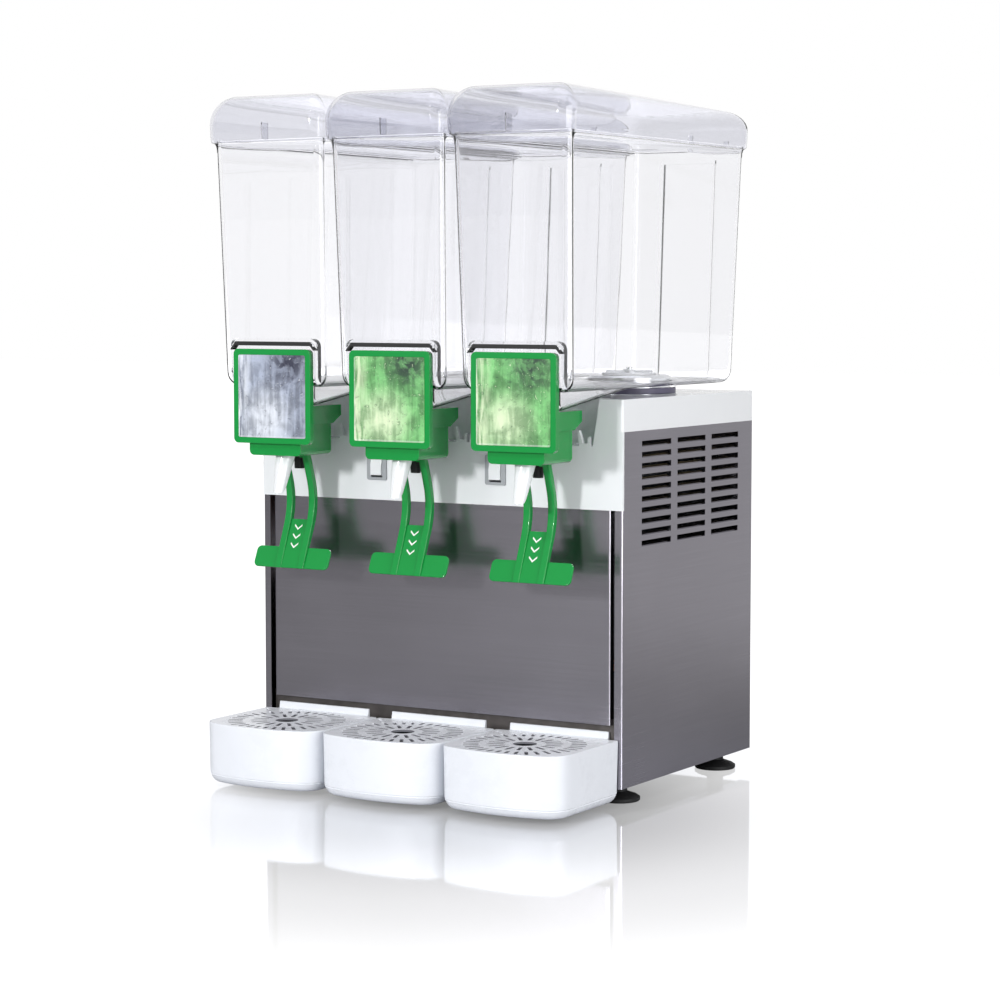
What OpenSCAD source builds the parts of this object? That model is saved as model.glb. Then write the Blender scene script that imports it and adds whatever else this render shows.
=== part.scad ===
// Cold drink dispenser: three clear bowls with push-lever taps on a refrigerated cabinet.
// Lengths are in millimetres. X runs to the right, Y to the rear and Z up from the floor.

/* [Cabinet] */
// Width over the side panels
cabinet_w = 400; // [396:1:440]
// Depth from the front edges to the rear edges of the side panels
cabinet_d = 270; // [270:1:300]
// Height of the side panels' lower edges above the floor
floor_gap = 17; // [15:1:30]
// Height of the deck above the floor
deck_top = 373; // [370:1:390]
// Height of the deck above the side panels' upper edges
deck_rise = 29.5; // [23:0.5:33]
// Height of the white fascia from the deck down
fascia_h = 101; // [90:1:115]
// Thickness of the steel sheet
sheet_t = 1; // [0.8:0.1:1.5]
// Wall of the white deck moulding
cover_t = 3; // [2.5:0.5:4]
// Width of the bent edges of the side panels
flange_w = 8; // [6:1:12]
// Bend radius of the sheet on its outside
bend_r = 2.5; // [2:0.5:4]
// Height of the front panel's lower edge above the floor
panel_bottom = 75; // [70:1:90]
// Open gap at each side of the front panel
panel_gap = 4.5; // [3:0.5:8]
// Setback of the base pan's front behind the side panels' front edges
plinth_back = 6; // [5:0.5:10]

/* [Louvres] */
// Columns of louvres on each side panel
louvre_cols = 3; // [2:1:3]
// Rows of louvres
louvre_rows = 10; // [6:1:11]
// Length of one louvre
louvre_w = 58; // [40:1:62]
// Height of one louvre opening
louvre_h = 5.2; // [4:0.1:6]
// Spacing of the columns
louvre_pitch_y = 71; // [66:1:76]
// Spacing of the rows
louvre_pitch_z = 10.2; // [9:0.1:12]
// Distance of the first column from the front
louvre_front = 37; // [25:1:45]
// Distance of the top row below the side panel's upper edge
louvre_below = 9.5; // [6:0.5:20]

/* [Feet] */
// Radius of a foot's disc
foot_r = 20; // [15:0.5:21]
// Height of a foot's disc
foot_disc_h = 8; // [5:0.5:10]
// Radius of a foot's stem
foot_stem_r = 8; // [5:0.5:10]
// Distance of the feet from the cabinet's sides
foot_side = 22; // [22:1:40]
// Distance of the feet from the cabinet's front and rear
foot_end = 35; // [28:1:60]

/* [Bowls] */
// Spacing of the bowls, taps and trays
bowl_pitch = 132; // [132:0.5:134]
// Outside width of a bowl at its rim
bowl_rim_w = 122; // [116:0.5:122]
// Outside width of a bowl at its floor
bowl_foot_w = 114; // [106:0.5:116]
// Reach of the rim ahead of the cabinet
bowl_rim_front = 86; // [80:1:88]
// Reach of the floor ahead of the cabinet
bowl_foot_front = 72; // [70:0.5:72]
// Depth of the rim's rear edge behind the cabinet's front
bowl_rim_rear = 262; // [252:1:262]
// Depth of the floor's rear edge behind the cabinet's front
bowl_foot_rear = 249; // [240:1:256]
// Height of a bowl from its floor to its rim
bowl_h = 226; // [200:1:260]
// Wall of a bowl
bowl_wall = 3; // [2.5:0.5:4]
// Outside corner radius of a bowl
bowl_corner_r = 8; // [7:0.5:12]
// Width of the sloping nose over the tap
nose_w = 84; // [74:1:88]
// Drop of the nose's tip below the bowl's floor
nose_drop = 22; // [18:0.5:24]
// Depth behind the cabinet's front where the nose meets the floor
nose_end = 70; // [50:1:80]
// Height of the ledge over the tap frame
ledge_h = 5.5; // [3:0.5:8]

/* [Lids] */
// Outside width of a lid's skirt
lid_w = 131.4; // [129:0.2:131.6]
// Reach of a lid beyond the bowl's rim at the front
lid_front_over = 8.5; // [6:0.5:10]
// Reach of a lid beyond the bowl's rim at the rear
lid_rear_over = 7.5; // [5:0.5:8]
// Depth of the skirt below the bowl's rim
lid_drop = 5; // [3:0.5:8]
// Height of the lid's top above the bowl's rim
lid_rise = 39; // [32:1:45]
// Fall of the lid's top from front to rear
lid_fall = 5; // [0:0.5:8]
// Wall of a lid
lid_wall = 2.5; // [2:0.5:3]
// Rounding of the lid's upper edges
lid_round = 16; // [10:1:18]

/* [Taps] */
// Width of the square green frame
frame_w = 88; // [80:1:96]
// Height of the square green frame
frame_h = 89; // [80:1:96]
// Thickness of the frame
frame_t = 6; // [4:0.5:6]
// Reach of the frame's face ahead of the cabinet
frame_reach = 80; // [80:0.5:84]
// Border of the frame round its card
frame_border = 5.5; // [4:0.5:9]
// Width of the block behind the frame
block_w = 64; // [60:1:70]
// Height of the whole tap block
tap_h = 47; // [45:0.5:52]
// Reach of the valve axis ahead of the cabinet
valve_reach = 35; // [34:0.5:36]
// Reach of the lever's pivot ahead of the cabinet
pivot_reach = 44; // [43:0.5:45]
// Radius of the lever's trunnions
trunnion_r = 3; // [2:0.1:3.5]
// Reach of the spout's root ahead of the cabinet
spout_reach = 57.5; // [57:0.5:60]
// Length of the slanted spout
spout_len = 37; // [25:1:45]
// Forward slant of the spout in degrees
spout_tilt = 18; // [0:1:20]
// Outside radius of the spout at its root
spout_root_r = 7; // [6:0.1:7.5]
// Outside radius of the spout at its tip
spout_tip_r = 4.8; // [4.2:0.1:6]

/* [Levers] */
// Clear width between the two arms
arm_gap = 20; // [18:0.5:22]
// Width of one arm
arm_w = 7; // [6:0.5:8]
// Depth of one arm
arm_d = 6; // [5:0.5:7]
// Drop of the knee below the pivot
knee_drop = 53; // [40:1:60]
// Setback of the knee behind the pivot
knee_back = 13; // [5:1:16]
// Drop of the lever's foot below the pivot
lever_drop = 114; // [100:1:130]
// Reach of the lever's foot ahead of the pivot
lever_fore = 8; // [0:1:12]
// Drop of the plate's upper edge below the pivot
plate_drop = 69; // [62:1:80]
// Width of the push paddle
paddle_w = 89; // [60:1:100]
// Height of the push paddle
paddle_h = 21; // [14:1:26]
// Thickness of the push paddle
paddle_t = 2.5; // [2:0.5:3]

/* [Trays] */
// Width of one drip tray
tray_w = 130; // [120:0.5:130]
// Reach of a tray's bowed front ahead of the cabinet
tray_reach = 116; // [100:1:125]
// Radius of the bowed front in plan
tray_bow_r = 180; // [150:1:260]
// Radius of a tray's front corners in plan
tray_corner_r = 24; // [14:1:32]
// Height of a tray's underside above the floor
tray_bottom = 9; // [5:0.5:12]
// Height of a tray's rim above the floor
tray_top = 62; // [56:1:66]
// Wall of a tray
tray_wall = 3; // [2.5:0.5:4]
// Width of the lip behind a tray
lip_w = 105; // [90:1:110]
// Rise of the lip above the tray's rim
lip_rise = 6.5; // [4:0.5:8]
// Thickness of a drip grid
grid_t = 2; // [1.5:0.5:2.5]
// Width of a slot in the grid
slot_w = 3.4; // [2:0.1:4]

/* [Hidden] */
$fn = 48;
hull_fn = 24;
bowl_count = 3;
half_w = cabinet_w / 2;
cut = 1;
slice = 0.01;
run_fit = 0.05;
slip = 0.3;
front_y = (tray_reach - cabinet_d) / 2;
fascia_bottom = deck_top - fascia_h;
steel_top = deck_top - deck_rise;
foam_gap = 1.5;
inner_flange = 12;
pan_floor = floor_gap + 2 * sheet_t;
inner_x = half_w - sheet_t - slip;
foam_room = 1;

// Refrigeration under each bowl
evap_y = cabinet_d / 2;
evap_r = 40;
evap_h = 18;
evap_t = 1.2;
evap_flange_r = 47;
evap_flange_t = 1;
seal_h = 5.5;
seal_r = 46;
collar_h = 6.5;
collar_wall = 5;
evap_room = 1.5;
pin_r = 3;
impeller_r = 26;
impeller_h = 5;
motor_r = 27;
motor_h = 40;
motor_flange_r = 30;
motor_flange_t = 3;
boss_r = 12;
boss_h = 1;
magnet_r = 30;
magnet_h = 10;
magnet_gap = 2;
seal_top = deck_top + evap_flange_t + seal_h;
evap_top = deck_top + evap_h;

// Heights of bowls, lids and taps
bowl_z = seal_top + collar_h;
rim_z = bowl_z + bowl_h;
lid_top = rim_z + lid_rise;
nose_tip = bowl_z - nose_drop;
nose_r = 8;
tap_gap = 1;
block_top = nose_tip - tap_gap;
tap_bottom = block_top - tap_h;
block_step = 17.5;
step_z = block_top - block_step;
block_rear = 11;
block_slope = 7.5;
lower_rear = 24.5;
lower_front = frame_reach - frame_t + 1;
lower_inset = 2.5;
lower_r = 5;
frame_r = 5;
frame_bottom = tap_bottom + 11.5;
frame_top = frame_bottom + frame_h;
card_t = 1;
ledge_gap = 1;
ledge_reach = frame_reach - 1;
ledge_w = frame_w + 4;
ledge_d = 30;
ledge_r = 6;
rim_bead = 1.2;
rim_bead_h = 4;
channel_w = 54;
channel_d = 3;
channel_below = 16;

// Valve, lever and spout inside the tap
pocket_h = 13;
web_h = 3;
ante_h = 6;
ante_r = 6;
chamber_r = 8;
pocket_top = tap_bottom + pocket_h;
ante_z = pocket_top + web_h;
seat_z = ante_z + ante_h;
valve_disc_r = chamber_r - 0.5;
valve_disc_h = 4;
stem_r = 2.5;
collar_r = 7;
collar_t = 3;
collar_z = tap_bottom + 1.5;
boot_r = 5.5;
boot_h = 15.5;
outlet_z = seat_z + valve_disc_h + 8;
outlet_bore = 5.5;
spring_r = 6.6;
spring_wire_r = 0.45;
spring_turns = 3.5;
spring_steps = 28;
spring_sides = 6;
pivot_z = tap_bottom + 6;
hub_r = 4.5;
trunnion_l = 6.5;
arm_out = arm_gap / 2 + arm_w;
pocket_room = 0.5;
pocket_w = 2 * (arm_out + pocket_room);
finger_r = 2.2;
finger_gap = 0.3;
finger_under = 0.8;
finger_w = arm_gap / 2 - collar_r + finger_under;
finger_root = 0.5;
finger_y = pivot_reach - valve_reach;
finger_z = collar_z - finger_gap - finger_r - pivot_z;
plate_t = 3.5;
knee_soft = 22;
paddle_r = 5;
spigot_r = 5;
spigot_h = 10;
spout_bore = 3.2;
spout_wall = 1.2;
spout_full = 0.45;
port_r = 2;
port_over = 1;

// Trays and grids
tray_rear = 0.5;
grid_gap = 0.4;
grid_rim = 4;
grid_web = 7;
slot_l = 16;
rim_wall = 1;
lip_t = 2.5;
lip_depth = 16;
tab_w = 12;
tab_t = 2;
tab_x = 30;
tab_top = 42;
tab_reach = 9;

// Fascia recesses and switches
recess_d = 25;
recess_drop = 43;
recess_top_w = nose_w + 4;
recess_foot_w = nose_w - 10;
hook_d = 4;
switch_rise = 33;
switch_z = fascia_bottom + switch_rise;
switch_w = 22;
switch_h = 28;
switch_wall = 1.5;
bezel_t = 1.5;
housing_w = 19;
housing_h = 25;
housing_d = 22;
rocker_w = 13;
rocker_h = 22.8;
rocker_pivot = 2.5;
rocker_tilt = 8;
rocker_pin_r = 1.5;

// Condensing unit on the base pan
coil_inset = 50;
coil_x = half_w - coil_inset;
coil_t = 34;
coil_l = 180;
coil_low = 105;
coil_top_gap = 28.5;
coil_h = steel_top - coil_top_gap - coil_low;
coil_end = 4;
fan_y = evap_y;
fan_z = coil_low + coil_h / 2;
fan_r = 76;
fan_hub_r = 18;
fan_blades = 5;
shroud_t = 12;
fin_count = 15;
fin_t = 1;
coil_tubes = 6;
coil_tube_r = 4;
comp_x = -95;
comp_r = 58;
comp_h = 150;
comp_foot_t = 4;
comp_pad_h = 8;
pipe_r = 4;
drier_r = 11;
drier_h = 90;

steel = [0.47, 0.45, 0.45];
white = [0.93, 0.94, 0.96];
green = [0.11, 0.56, 0.27];
clear = [0.80, 0.85, 0.90, 0.35];
black = [0.06, 0.06, 0.06];
grey = [0.55, 0.56, 0.58];
copper = [0.72, 0.42, 0.25];

function bowl_x(n) = (n - (bowl_count + 1) / 2) * bowl_pitch;
function numbered(stem) = [for (n = [1:bowl_count]) str(stem, "_", n)];

// Shared forms

// Children in the cabinet's frame, with Y at 0 on the front edges of the side panels
module in_cabinet() translate([0, front_y, 0]) children();

// Children about the middle plane of one bowl, in the cabinet's frame
module at_bowl(n) translate([bowl_x(n), front_y, 0]) children();

// Box between two opposite corners
module block(low, high) translate(low) cube(high - low);

// Rectangle about the origin with round corners
module rounded_rect(w, d, r) {
    square([w - 2 * r, d], center = true);
    square([w, d - 2 * r], center = true);
    for (x = [-1, 1], y = [-1, 1])
        translate([x * (w / 2 - r), y * (d / 2 - r)]) circle(r);
}

// Outline in Y and Z with a width along X, centred on X = 0
module across(w) translate([-w / 2, 0, 0]) rotate([90, 0, 90]) linear_extrude(w) children();

// Outline in X and Z with a depth to the rear of Y = 0
module backward(d) translate([0, d, 0]) rotate([90, 0, 0]) linear_extrude(d) children();

// Cylinder along X between two values of X
module bar(x1, x2, r) translate([x1, 0, 0]) rotate([0, 90, 0]) cylinder(h = x2 - x1, r = r);

// Slot with round ends along X, centred on the origin
module slot(l, w) {
    square([l - w, w], center = true);
    for (x = [-1, 1]) translate([x * (l - w) / 2, 0]) circle(w / 2);
}

// Tube route along straight runs with a brazed elbow at each turn
module pipe(points, r) {
    elbow_r = r * 1.2;
    for (i = [0:len(points) - 2]) {
        run = points[i + 1] - points[i];
        turn = atan2(run[1], run[0]);
        lean = acos(run[2] / norm(run));
        translate(points[i]) rotate([0, lean, turn]) cylinder(h = norm(run), r = r);
    }
    for (i = [1:1:len(points) - 2]) translate(points[i]) sphere(elbow_r);
}

// Cabinet sheet metal

// Side panel on the right, bent at the front, rear, top and bottom
module side_panel() {
    difference() {
        union() {
            translate([0, 0, floor_gap]) linear_extrude(steel_top - floor_gap) side_plan();
            block([half_w - inner_flange, sheet_t, floor_gap],
                  [half_w - sheet_t, cabinet_d, floor_gap + sheet_t]);
            block([half_w - inner_flange, cover_t + slip, steel_top - sheet_t],
                  [half_w - sheet_t, cabinet_d - 2 * sheet_t - slip, steel_top]);
            each_louvre() louvre_blade();
        }
        block([half_w - inner_flange - cut, -cut, fascia_bottom],
              [half_w + cut, cover_t + slip, steel_top + cut]);
        each_louvre() louvre_opening();
    }
}

// Plan of the side panel's bent sheet
module side_plan() {
    mid = [half_w - cabinet_d / 2, cabinet_d / 2];
    difference() {
        translate(mid) rounded_rect(cabinet_d, cabinet_d, bend_r);
        translate(mid) rounded_rect(cabinet_d - 2 * sheet_t, cabinet_d - 2 * sheet_t, bend_r - sheet_t);
        translate([half_w - cabinet_d - cut, -cut])
            square([cabinet_d + cut - flange_w, cabinet_d + 2 * cut]);
    }
}

// Children at the upper front corner of each louvre on the right side
module each_louvre() {
    for (c = [0:louvre_cols - 1], r = [0:louvre_rows - 1])
        translate([half_w, louvre_front + c * louvre_pitch_y, steel_top - louvre_below - r * louvre_pitch_z])
            children();
}

module louvre_opening()
    translate([-sheet_t - cut, 0, -louvre_h]) cube([sheet_t + 2 * cut, louvre_w, louvre_h]);

// Lanced blade that leans inward and up from the lower edge of its opening
module louvre_blade() {
    blade_in = 4;
    blade_up = 2;
    root = sheet_t / 2;
    translate([0, louvre_w, -louvre_h]) rotate([90, 0, 0]) linear_extrude(louvre_w)
        polygon([[-root, 0], [-root, -sheet_t], [-sheet_t, -sheet_t],
                 [-sheet_t - blade_in, blade_up - sheet_t], [-sheet_t - blade_in, blade_up], [-sheet_t, 0]]);
}

module right_side_panel() in_cabinet() color(steel) side_panel();

module left_side_panel() in_cabinet() color(steel) mirror([1, 0, 0]) side_panel();

// Front panel with bent sides, top and foot
module front_panel() {
    panel_w = cabinet_w - 2 * (flange_w + panel_gap);
    panel_h = fascia_bottom - panel_bottom;
    in_cabinet() color(steel) {
        translate([0, 0, panel_bottom]) linear_extrude(panel_h) difference() {
            translate([0, panel_w / 2]) rounded_rect(panel_w, panel_w, bend_r);
            translate([0, panel_w / 2])
                rounded_rect(panel_w - 2 * sheet_t, panel_w - 2 * sheet_t, bend_r - sheet_t);
            translate([-half_w, plinth_back]) square([cabinet_w, panel_w]);
        }
        for (z = [panel_bottom, fascia_bottom - sheet_t])
            block([-panel_w / 2 + sheet_t, sheet_t, z], [panel_w / 2 - sheet_t, plinth_back, z + sheet_t]);
    }
}

// Rear panel with rows of air slots behind the condensing unit
module rear_panel() {
    vent_l = 60;
    vent_h = 5;
    vent_low = 110;
    pitch_x = 76;
    pitch_z = 14;
    edge_x = half_w - bend_r - slip;
    in_cabinet() color(steel) difference() {
        block([-edge_x, cabinet_d - 2 * sheet_t, pan_floor], [edge_x, cabinet_d - sheet_t, steel_top]);
        for (x = [-1.5:1:1.5], r = [0:7])
            translate([x * pitch_x, cabinet_d - 2 * sheet_t - cut, vent_low + r * pitch_z])
                backward(sheet_t + 2 * cut) slot(vent_l, vent_h);
    }
}

// Base pan with upturned edges and a pair of hanger tabs for each tray
module base_pan() {
    edge_h = 22;
    drain_l = 34;
    drain_w = 6;
    drain_pitch = 52;
    plinth_x = half_w - flange_w - sheet_t;
    plinth_top = panel_bottom + 5;
    rear = cabinet_d - 2 * sheet_t;
    low = floor_gap + sheet_t;
    in_cabinet() color(grey) {
        difference() {
            block([-inner_x, plinth_back, low], [inner_x, rear, pan_floor]);
            for (x = [-2:2]) translate([x * drain_pitch, cabinet_d / 2, low - cut])
                linear_extrude(sheet_t + 2 * cut) slot(drain_l, drain_w);
        }
        block([-plinth_x, plinth_back, low], [plinth_x, plinth_back + sheet_t, plinth_top]);
        block([-inner_x, rear - sheet_t, low], [inner_x, rear, low + edge_h]);
        for (side = [0, 1]) mirror([side, 0, 0])
            block([inner_x - sheet_t, inner_flange, low], [inner_x, rear, low + edge_h]);
        for (n = [1:bowl_count], s = [-1, 1])
            translate([bowl_x(n) + s * tab_x, 0, 0])
                block([-tab_w / 2, -tab_reach, tab_top - tab_t], [tab_w / 2, plinth_back + sheet_t, tab_top]);
    }
}

// Four screw feet: a stem over a flared rubber disc
module feet() {
    stem_top = floor_gap + sheet_t;
    shoulder = foot_disc_h * 0.7;
    in_cabinet() color(black)
        for (side = [-1, 1], y = [foot_end, cabinet_d - foot_end])
            translate([side * (half_w - foot_side), y, 0]) rotate_extrude()
                polygon([[0, 0], [foot_r - 1, 0], [foot_r, 1], [foot_r, shoulder - 2], [foot_r - 3, shoulder],
                         [foot_stem_r + 2, foot_disc_h], [foot_stem_r, foot_disc_h + 1],
                         [foot_stem_r, stem_top], [0, stem_top]]);
}

// White deck moulding

// Trapezoid of a tap recess, grown by the given wall
module recess_outline(wall, rise) {
    foot = recess_foot_w / 2 + wall;
    top = recess_top_w / 2 + wall;
    polygon([[-foot, deck_top - recess_drop - wall], [foot, deck_top - recess_drop - wall],
             [top, deck_top + rise], [-top, deck_top + rise]]);
}

// Upturned hook on a recess floor that steadies the bowl's nose
module recess_hook() {
    base = deck_top - recess_drop;
    x = recess_foot_w / 2 - 12;
    backward(hook_d)
        polygon([[x - 2, base - cut], [x + 9, base - cut], [x + 9, base + 8], [x + 6.5, base + 8],
                 [x + 6.5, base + 2.5], [x + 1.5, base + 2.5], [x - 2.5, base + 14], [x - 4.5, base + 14]]);
}

module top_cover() {
    plan_mid = [0, cabinet_d / 2, 0];
    in_cabinet() color(white) difference() {
        union() {
            translate(plan_mid + [0, 0, deck_top - cover_t]) linear_extrude(cover_t)
                rounded_rect(cabinet_w, cabinet_d, bend_r);
            translate(plan_mid + [0, 0, steel_top]) linear_extrude(deck_top - steel_top) difference() {
                rounded_rect(cabinet_w, cabinet_d, bend_r);
                rounded_rect(cabinet_w - 2 * cover_t, cabinet_d - 2 * cover_t, bend_r / 2);
            }
            block([-half_w, 0, fascia_bottom], [half_w, cover_t, steel_top]);
            for (n = [1:bowl_count]) translate([bowl_x(n), 0, 0])
                backward(recess_d + cover_t) recess_outline(cover_t, 0);
        }
        for (n = [1:bowl_count]) translate([bowl_x(n), 0, 0]) {
            difference() {
                translate([0, -cut, 0]) backward(recess_d + cut) recess_outline(0, cut);
                for (side = [0, 1]) mirror([side, 0, 0]) recess_hook();
            }
            translate([0, evap_y, deck_top - cover_t - cut])
                cylinder(h = cover_t + 2 * cut, r = boss_r + slip);
        }
        for (side = [-1, 1]) translate([side * bowl_pitch / 2, -cut, switch_z]) backward(cover_t + 2 * cut)
            square([housing_w + slip, housing_h + slip], center = true);
    }
}

// Foam under the deck, cut away round the motors
module deck_insulation() {
    low = steel_top + foam_gap;
    side = half_w - cover_t - foam_room;
    front = recess_d + cover_t + slip;
    rear = cabinet_d - cover_t - foam_room;
    in_cabinet() color([0.93, 0.86, 0.62]) difference() {
        block([-side, front, low], [side, rear, deck_top - cover_t]);
        for (n = [1:bowl_count]) translate([bowl_x(n), evap_y, low - cut])
            cylinder(h = deck_top, r = motor_flange_r + slip);
    }
}

// Switches

module switch_bodies() {
    in_cabinet() color(grey)
    for (side = [-1, 1]) translate([side * bowl_pitch / 2, 0, switch_z]) difference() {
        union() {
            translate([0, -bezel_t, 0]) backward(bezel_t) rounded_rect(switch_w, switch_h, 2);
            block([-housing_w / 2, -bezel_t, -housing_h / 2], [housing_w / 2, housing_d, housing_h / 2]);
        }
        block([-rocker_w / 2, -bezel_t - cut, -rocker_h / 2], [rocker_w / 2, 10, rocker_h / 2]);
        translate([0, rocker_pivot, 0])
            bar(-rocker_w / 2 - switch_wall, rocker_w / 2 + switch_wall, rocker_pin_r + run_fit);
    }
}

// White rocker with a ridge between its two faces, resting on one side
module rocker(side) {
    face = 6;
    face_end = 4.4;
    tail = 3;
    end = rocker_h / 2 - 1.4;
    in_cabinet() color(white)
    translate([side * bowl_pitch / 2, rocker_pivot, switch_z]) rotate([-rocker_tilt, 0, 0]) {
        across(rocker_w - 2 * slip)
            polygon([[-face, 0], [-face_end, end], [tail - 1, end - 1], [tail, 0], [tail - 1, 1 - end],
                     [-face_end, -end]]);
        bar(-rocker_w / 2 - switch_wall + slip, rocker_w / 2 + switch_wall - slip, rocker_pin_r);
    }
}

module rocker_left() rocker(-1);

module rocker_right() rocker(1);

// Cooling and stirring under the bowls

// Low stainless cup with a flange on the deck and a pin for the impeller
module evaporator(n) {
    at_bowl(n) color([0.75, 0.76, 0.78]) translate([0, evap_y, deck_top]) {
        rotate_extrude() polygon([
            [evap_r - evap_t, 0], [evap_flange_r, 0], [evap_flange_r, evap_flange_t], [evap_r, evap_flange_t],
            [evap_r, evap_h - 3], [evap_r - 3, evap_h], [0, evap_h], [0, evap_h - evap_t],
            [evap_r - 4, evap_h - evap_t], [evap_r - evap_t, evap_h - 4]]);
        translate([0, 0, evap_h - evap_t / 2]) cylinder(h = impeller_h + 3, r = pin_r);
    }
}

module bowl_seals() {
    for (n = [1:bowl_count]) at_bowl(n) color([0.85, 0.85, 0.87])
        translate([0, evap_y, deck_top + evap_flange_t]) difference() {
            cylinder(h = seal_h, r = seal_r);
            translate([0, 0, -cut]) cylinder(h = seal_h + 2 * cut, r = evap_r + run_fit);
        }
}

// Stirring motors that hang from the deck, each with a boss and a shaft through it
module pump_motors() {
    under = deck_top - cover_t;
    shaft_top = deck_top + boss_h + magnet_gap + magnet_h;
    for (n = [1:bowl_count]) at_bowl(n) color(grey) translate([0, evap_y, 0]) {
        translate([0, 0, under - motor_flange_t]) cylinder(h = motor_flange_t, r = motor_flange_r);
        translate([0, 0, under - motor_h]) cylinder(h = motor_h - 1, r = motor_r);
        translate([0, 0, under - 1]) cylinder(h = cover_t + boss_h + 1, r = boss_r);
        translate([0, 0, deck_top]) cylinder(h = shaft_top - deck_top, r = pin_r);
    }
}

module drive_magnet(n) {
    at_bowl(n) color(grey) translate([0, evap_y, deck_top + boss_h + magnet_gap]) difference() {
        cylinder(h = magnet_h, r = magnet_r);
        translate([0, 0, -cut]) cylinder(h = magnet_h + 2 * cut, r = pin_r + run_fit);
        for (a = [0:90:270]) rotate(a) translate([magnet_r * 0.62, 0, magnet_h - 3])
            cylinder(h = 3 + cut, r = magnet_r / 5);
    }
}

// Stirring wheel: a thin disc with six straight vanes on a hub
module impeller(n) {
    disc_t = 2;
    hub = pin_r + 3;
    vane_t = 2;
    vanes = 6;
    at_bowl(n) color(white) translate([0, evap_y, evap_top + slip]) difference() {
        union() {
            cylinder(h = disc_t, r = impeller_r);
            cylinder(h = impeller_h, r = hub);
            for (i = [0:vanes - 1]) rotate(i * 360 / vanes)
                block([hub - 1, -vane_t / 2, disc_t - 1], [impeller_r - 1, vane_t / 2, impeller_h - 1]);
        }
        translate([0, 0, -cut]) cylinder(h = impeller_h + 2 * cut, r = pin_r + run_fit);
    }
}

// Bowls

// Tapered box of a bowl: round corners of radius r about the wall's own corner centres
module bowl_form(r, top) {
    foot_x = bowl_foot_w / 2 - bowl_corner_r;
    rim_x = bowl_rim_w / 2 - bowl_corner_r;
    hull() for (side = [-1, 1]) {
        for (y = [-bowl_foot_front + bowl_corner_r, bowl_foot_rear - bowl_corner_r])
            translate([side * foot_x, y, bowl_z + bowl_corner_r]) sphere(r, $fn = hull_fn);
        for (y = [-bowl_rim_front + bowl_corner_r, bowl_rim_rear - bowl_corner_r])
            translate([side * rim_x, y, rim_z - slice]) cylinder(h = top + slice, r = r, $fn = hull_fn);
    }
}

// Side outline of the nose, drawn in by the given wall: a round tip and a floor that rises to the rear
module nose_outline(wall) {
    r = nose_r - wall;
    tip = [-bowl_foot_front + nose_r, nose_tip + nose_r];
    end = [nose_end, bowl_z + wall];
    reach = end - tip;
    touch = atan2(reach[1], reach[0]) - acos(r / norm(reach));
    top = bowl_z + bowl_corner_r;
    translate(tip) circle(r);
    polygon([tip + r * [cos(touch), sin(touch)], end, [nose_end, top], [tip[0] - r, top], tip - [r, 0], tip]);
}

// Upright channel in a bowl's rear wall, grown by the given wall
module rear_channel(wall) {
    slope = (bowl_rim_rear - bowl_foot_rear) / (bowl_h - bowl_corner_r);
    low = bowl_z - cut;
    high = rim_z - channel_below;
    foot = bowl_foot_rear - channel_d - wall - slope * (bowl_corner_r + cut);
    head = foot + slope * (high - low);
    beyond = bowl_rim_rear + cut;
    across(channel_w + 2 * wall)
        polygon([[foot, low], [beyond, low], [beyond, high + wall], [head + slope * wall, high + wall]]);
}

module bowl(n) {
    rim_mid = (bowl_rim_rear - bowl_rim_front) / 2;
    rim_l = bowl_rim_rear + bowl_rim_front;
    at_bowl(n) color(clear) difference() {
        union() {
            difference() {
                bowl_form(bowl_corner_r, 0);
                rear_channel(0);
            }
            across(nose_w) nose_outline(0);
            translate([0, rim_mid, rim_z - rim_bead_h]) linear_extrude(rim_bead_h)
                rounded_rect(bowl_rim_w + 2 * rim_bead, rim_l + 2 * rim_bead, bowl_corner_r);
            translate([0, -ledge_reach + ledge_d / 2, frame_top + ledge_gap]) linear_extrude(ledge_h)
                rounded_rect(ledge_w, ledge_d, ledge_r);
            translate([0, evap_y, bowl_z - collar_h])
                cylinder(h = collar_h + cut, r = evap_r + evap_room + collar_wall);
            translate([0, -valve_reach, outlet_z]) cylinder(h = bowl_z - outlet_z, r = chamber_r - run_fit);
        }
        difference() {
            bowl_form(bowl_corner_r - bowl_wall, cut);
            rear_channel(bowl_wall);
        }
        across(nose_w - 2 * bowl_wall) nose_outline(bowl_wall);
        translate([0, evap_y, bowl_z - collar_h - cut])
            cylinder(h = collar_h + bowl_wall + 2 * cut, r = evap_r + evap_room);
        translate([0, -valve_reach, outlet_z - cut]) cylinder(h = bowl_z - outlet_z, r = outlet_bore);
    }
}

// Lids

lid_step = 1;
lid_lean = 1.5;
lid_corner_r = 10;
lid_skirt = 9;
rib_t = 2;
lid_front = bowl_rim_front + lid_front_over;
lid_rear = bowl_rim_rear + lid_rear_over;
lid_l = lid_front + lid_rear;
lid_side_over = (lid_w - bowl_rim_w) / 2;

// Domed box of a lid above its skirt, drawn in by the given wall
module lid_form(wall, base) {
    base_c = lid_step + lid_corner_r;
    top_c = lid_step + lid_lean + lid_round;
    hull() for (x = [-1, 1], y = [-1, 1]) {
        translate([x * (lid_w / 2 - base_c), y * (lid_l / 2 - base_c), base])
            cylinder(h = slice, r = lid_corner_r - wall, $fn = hull_fn);
        translate([x * (lid_w / 2 - top_c), y * (lid_l / 2 - top_c),
                   lid_top - lid_round - lid_fall * (1 + y) / 2])
            sphere(lid_round - wall, $fn = hull_fn);
    }
}

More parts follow.
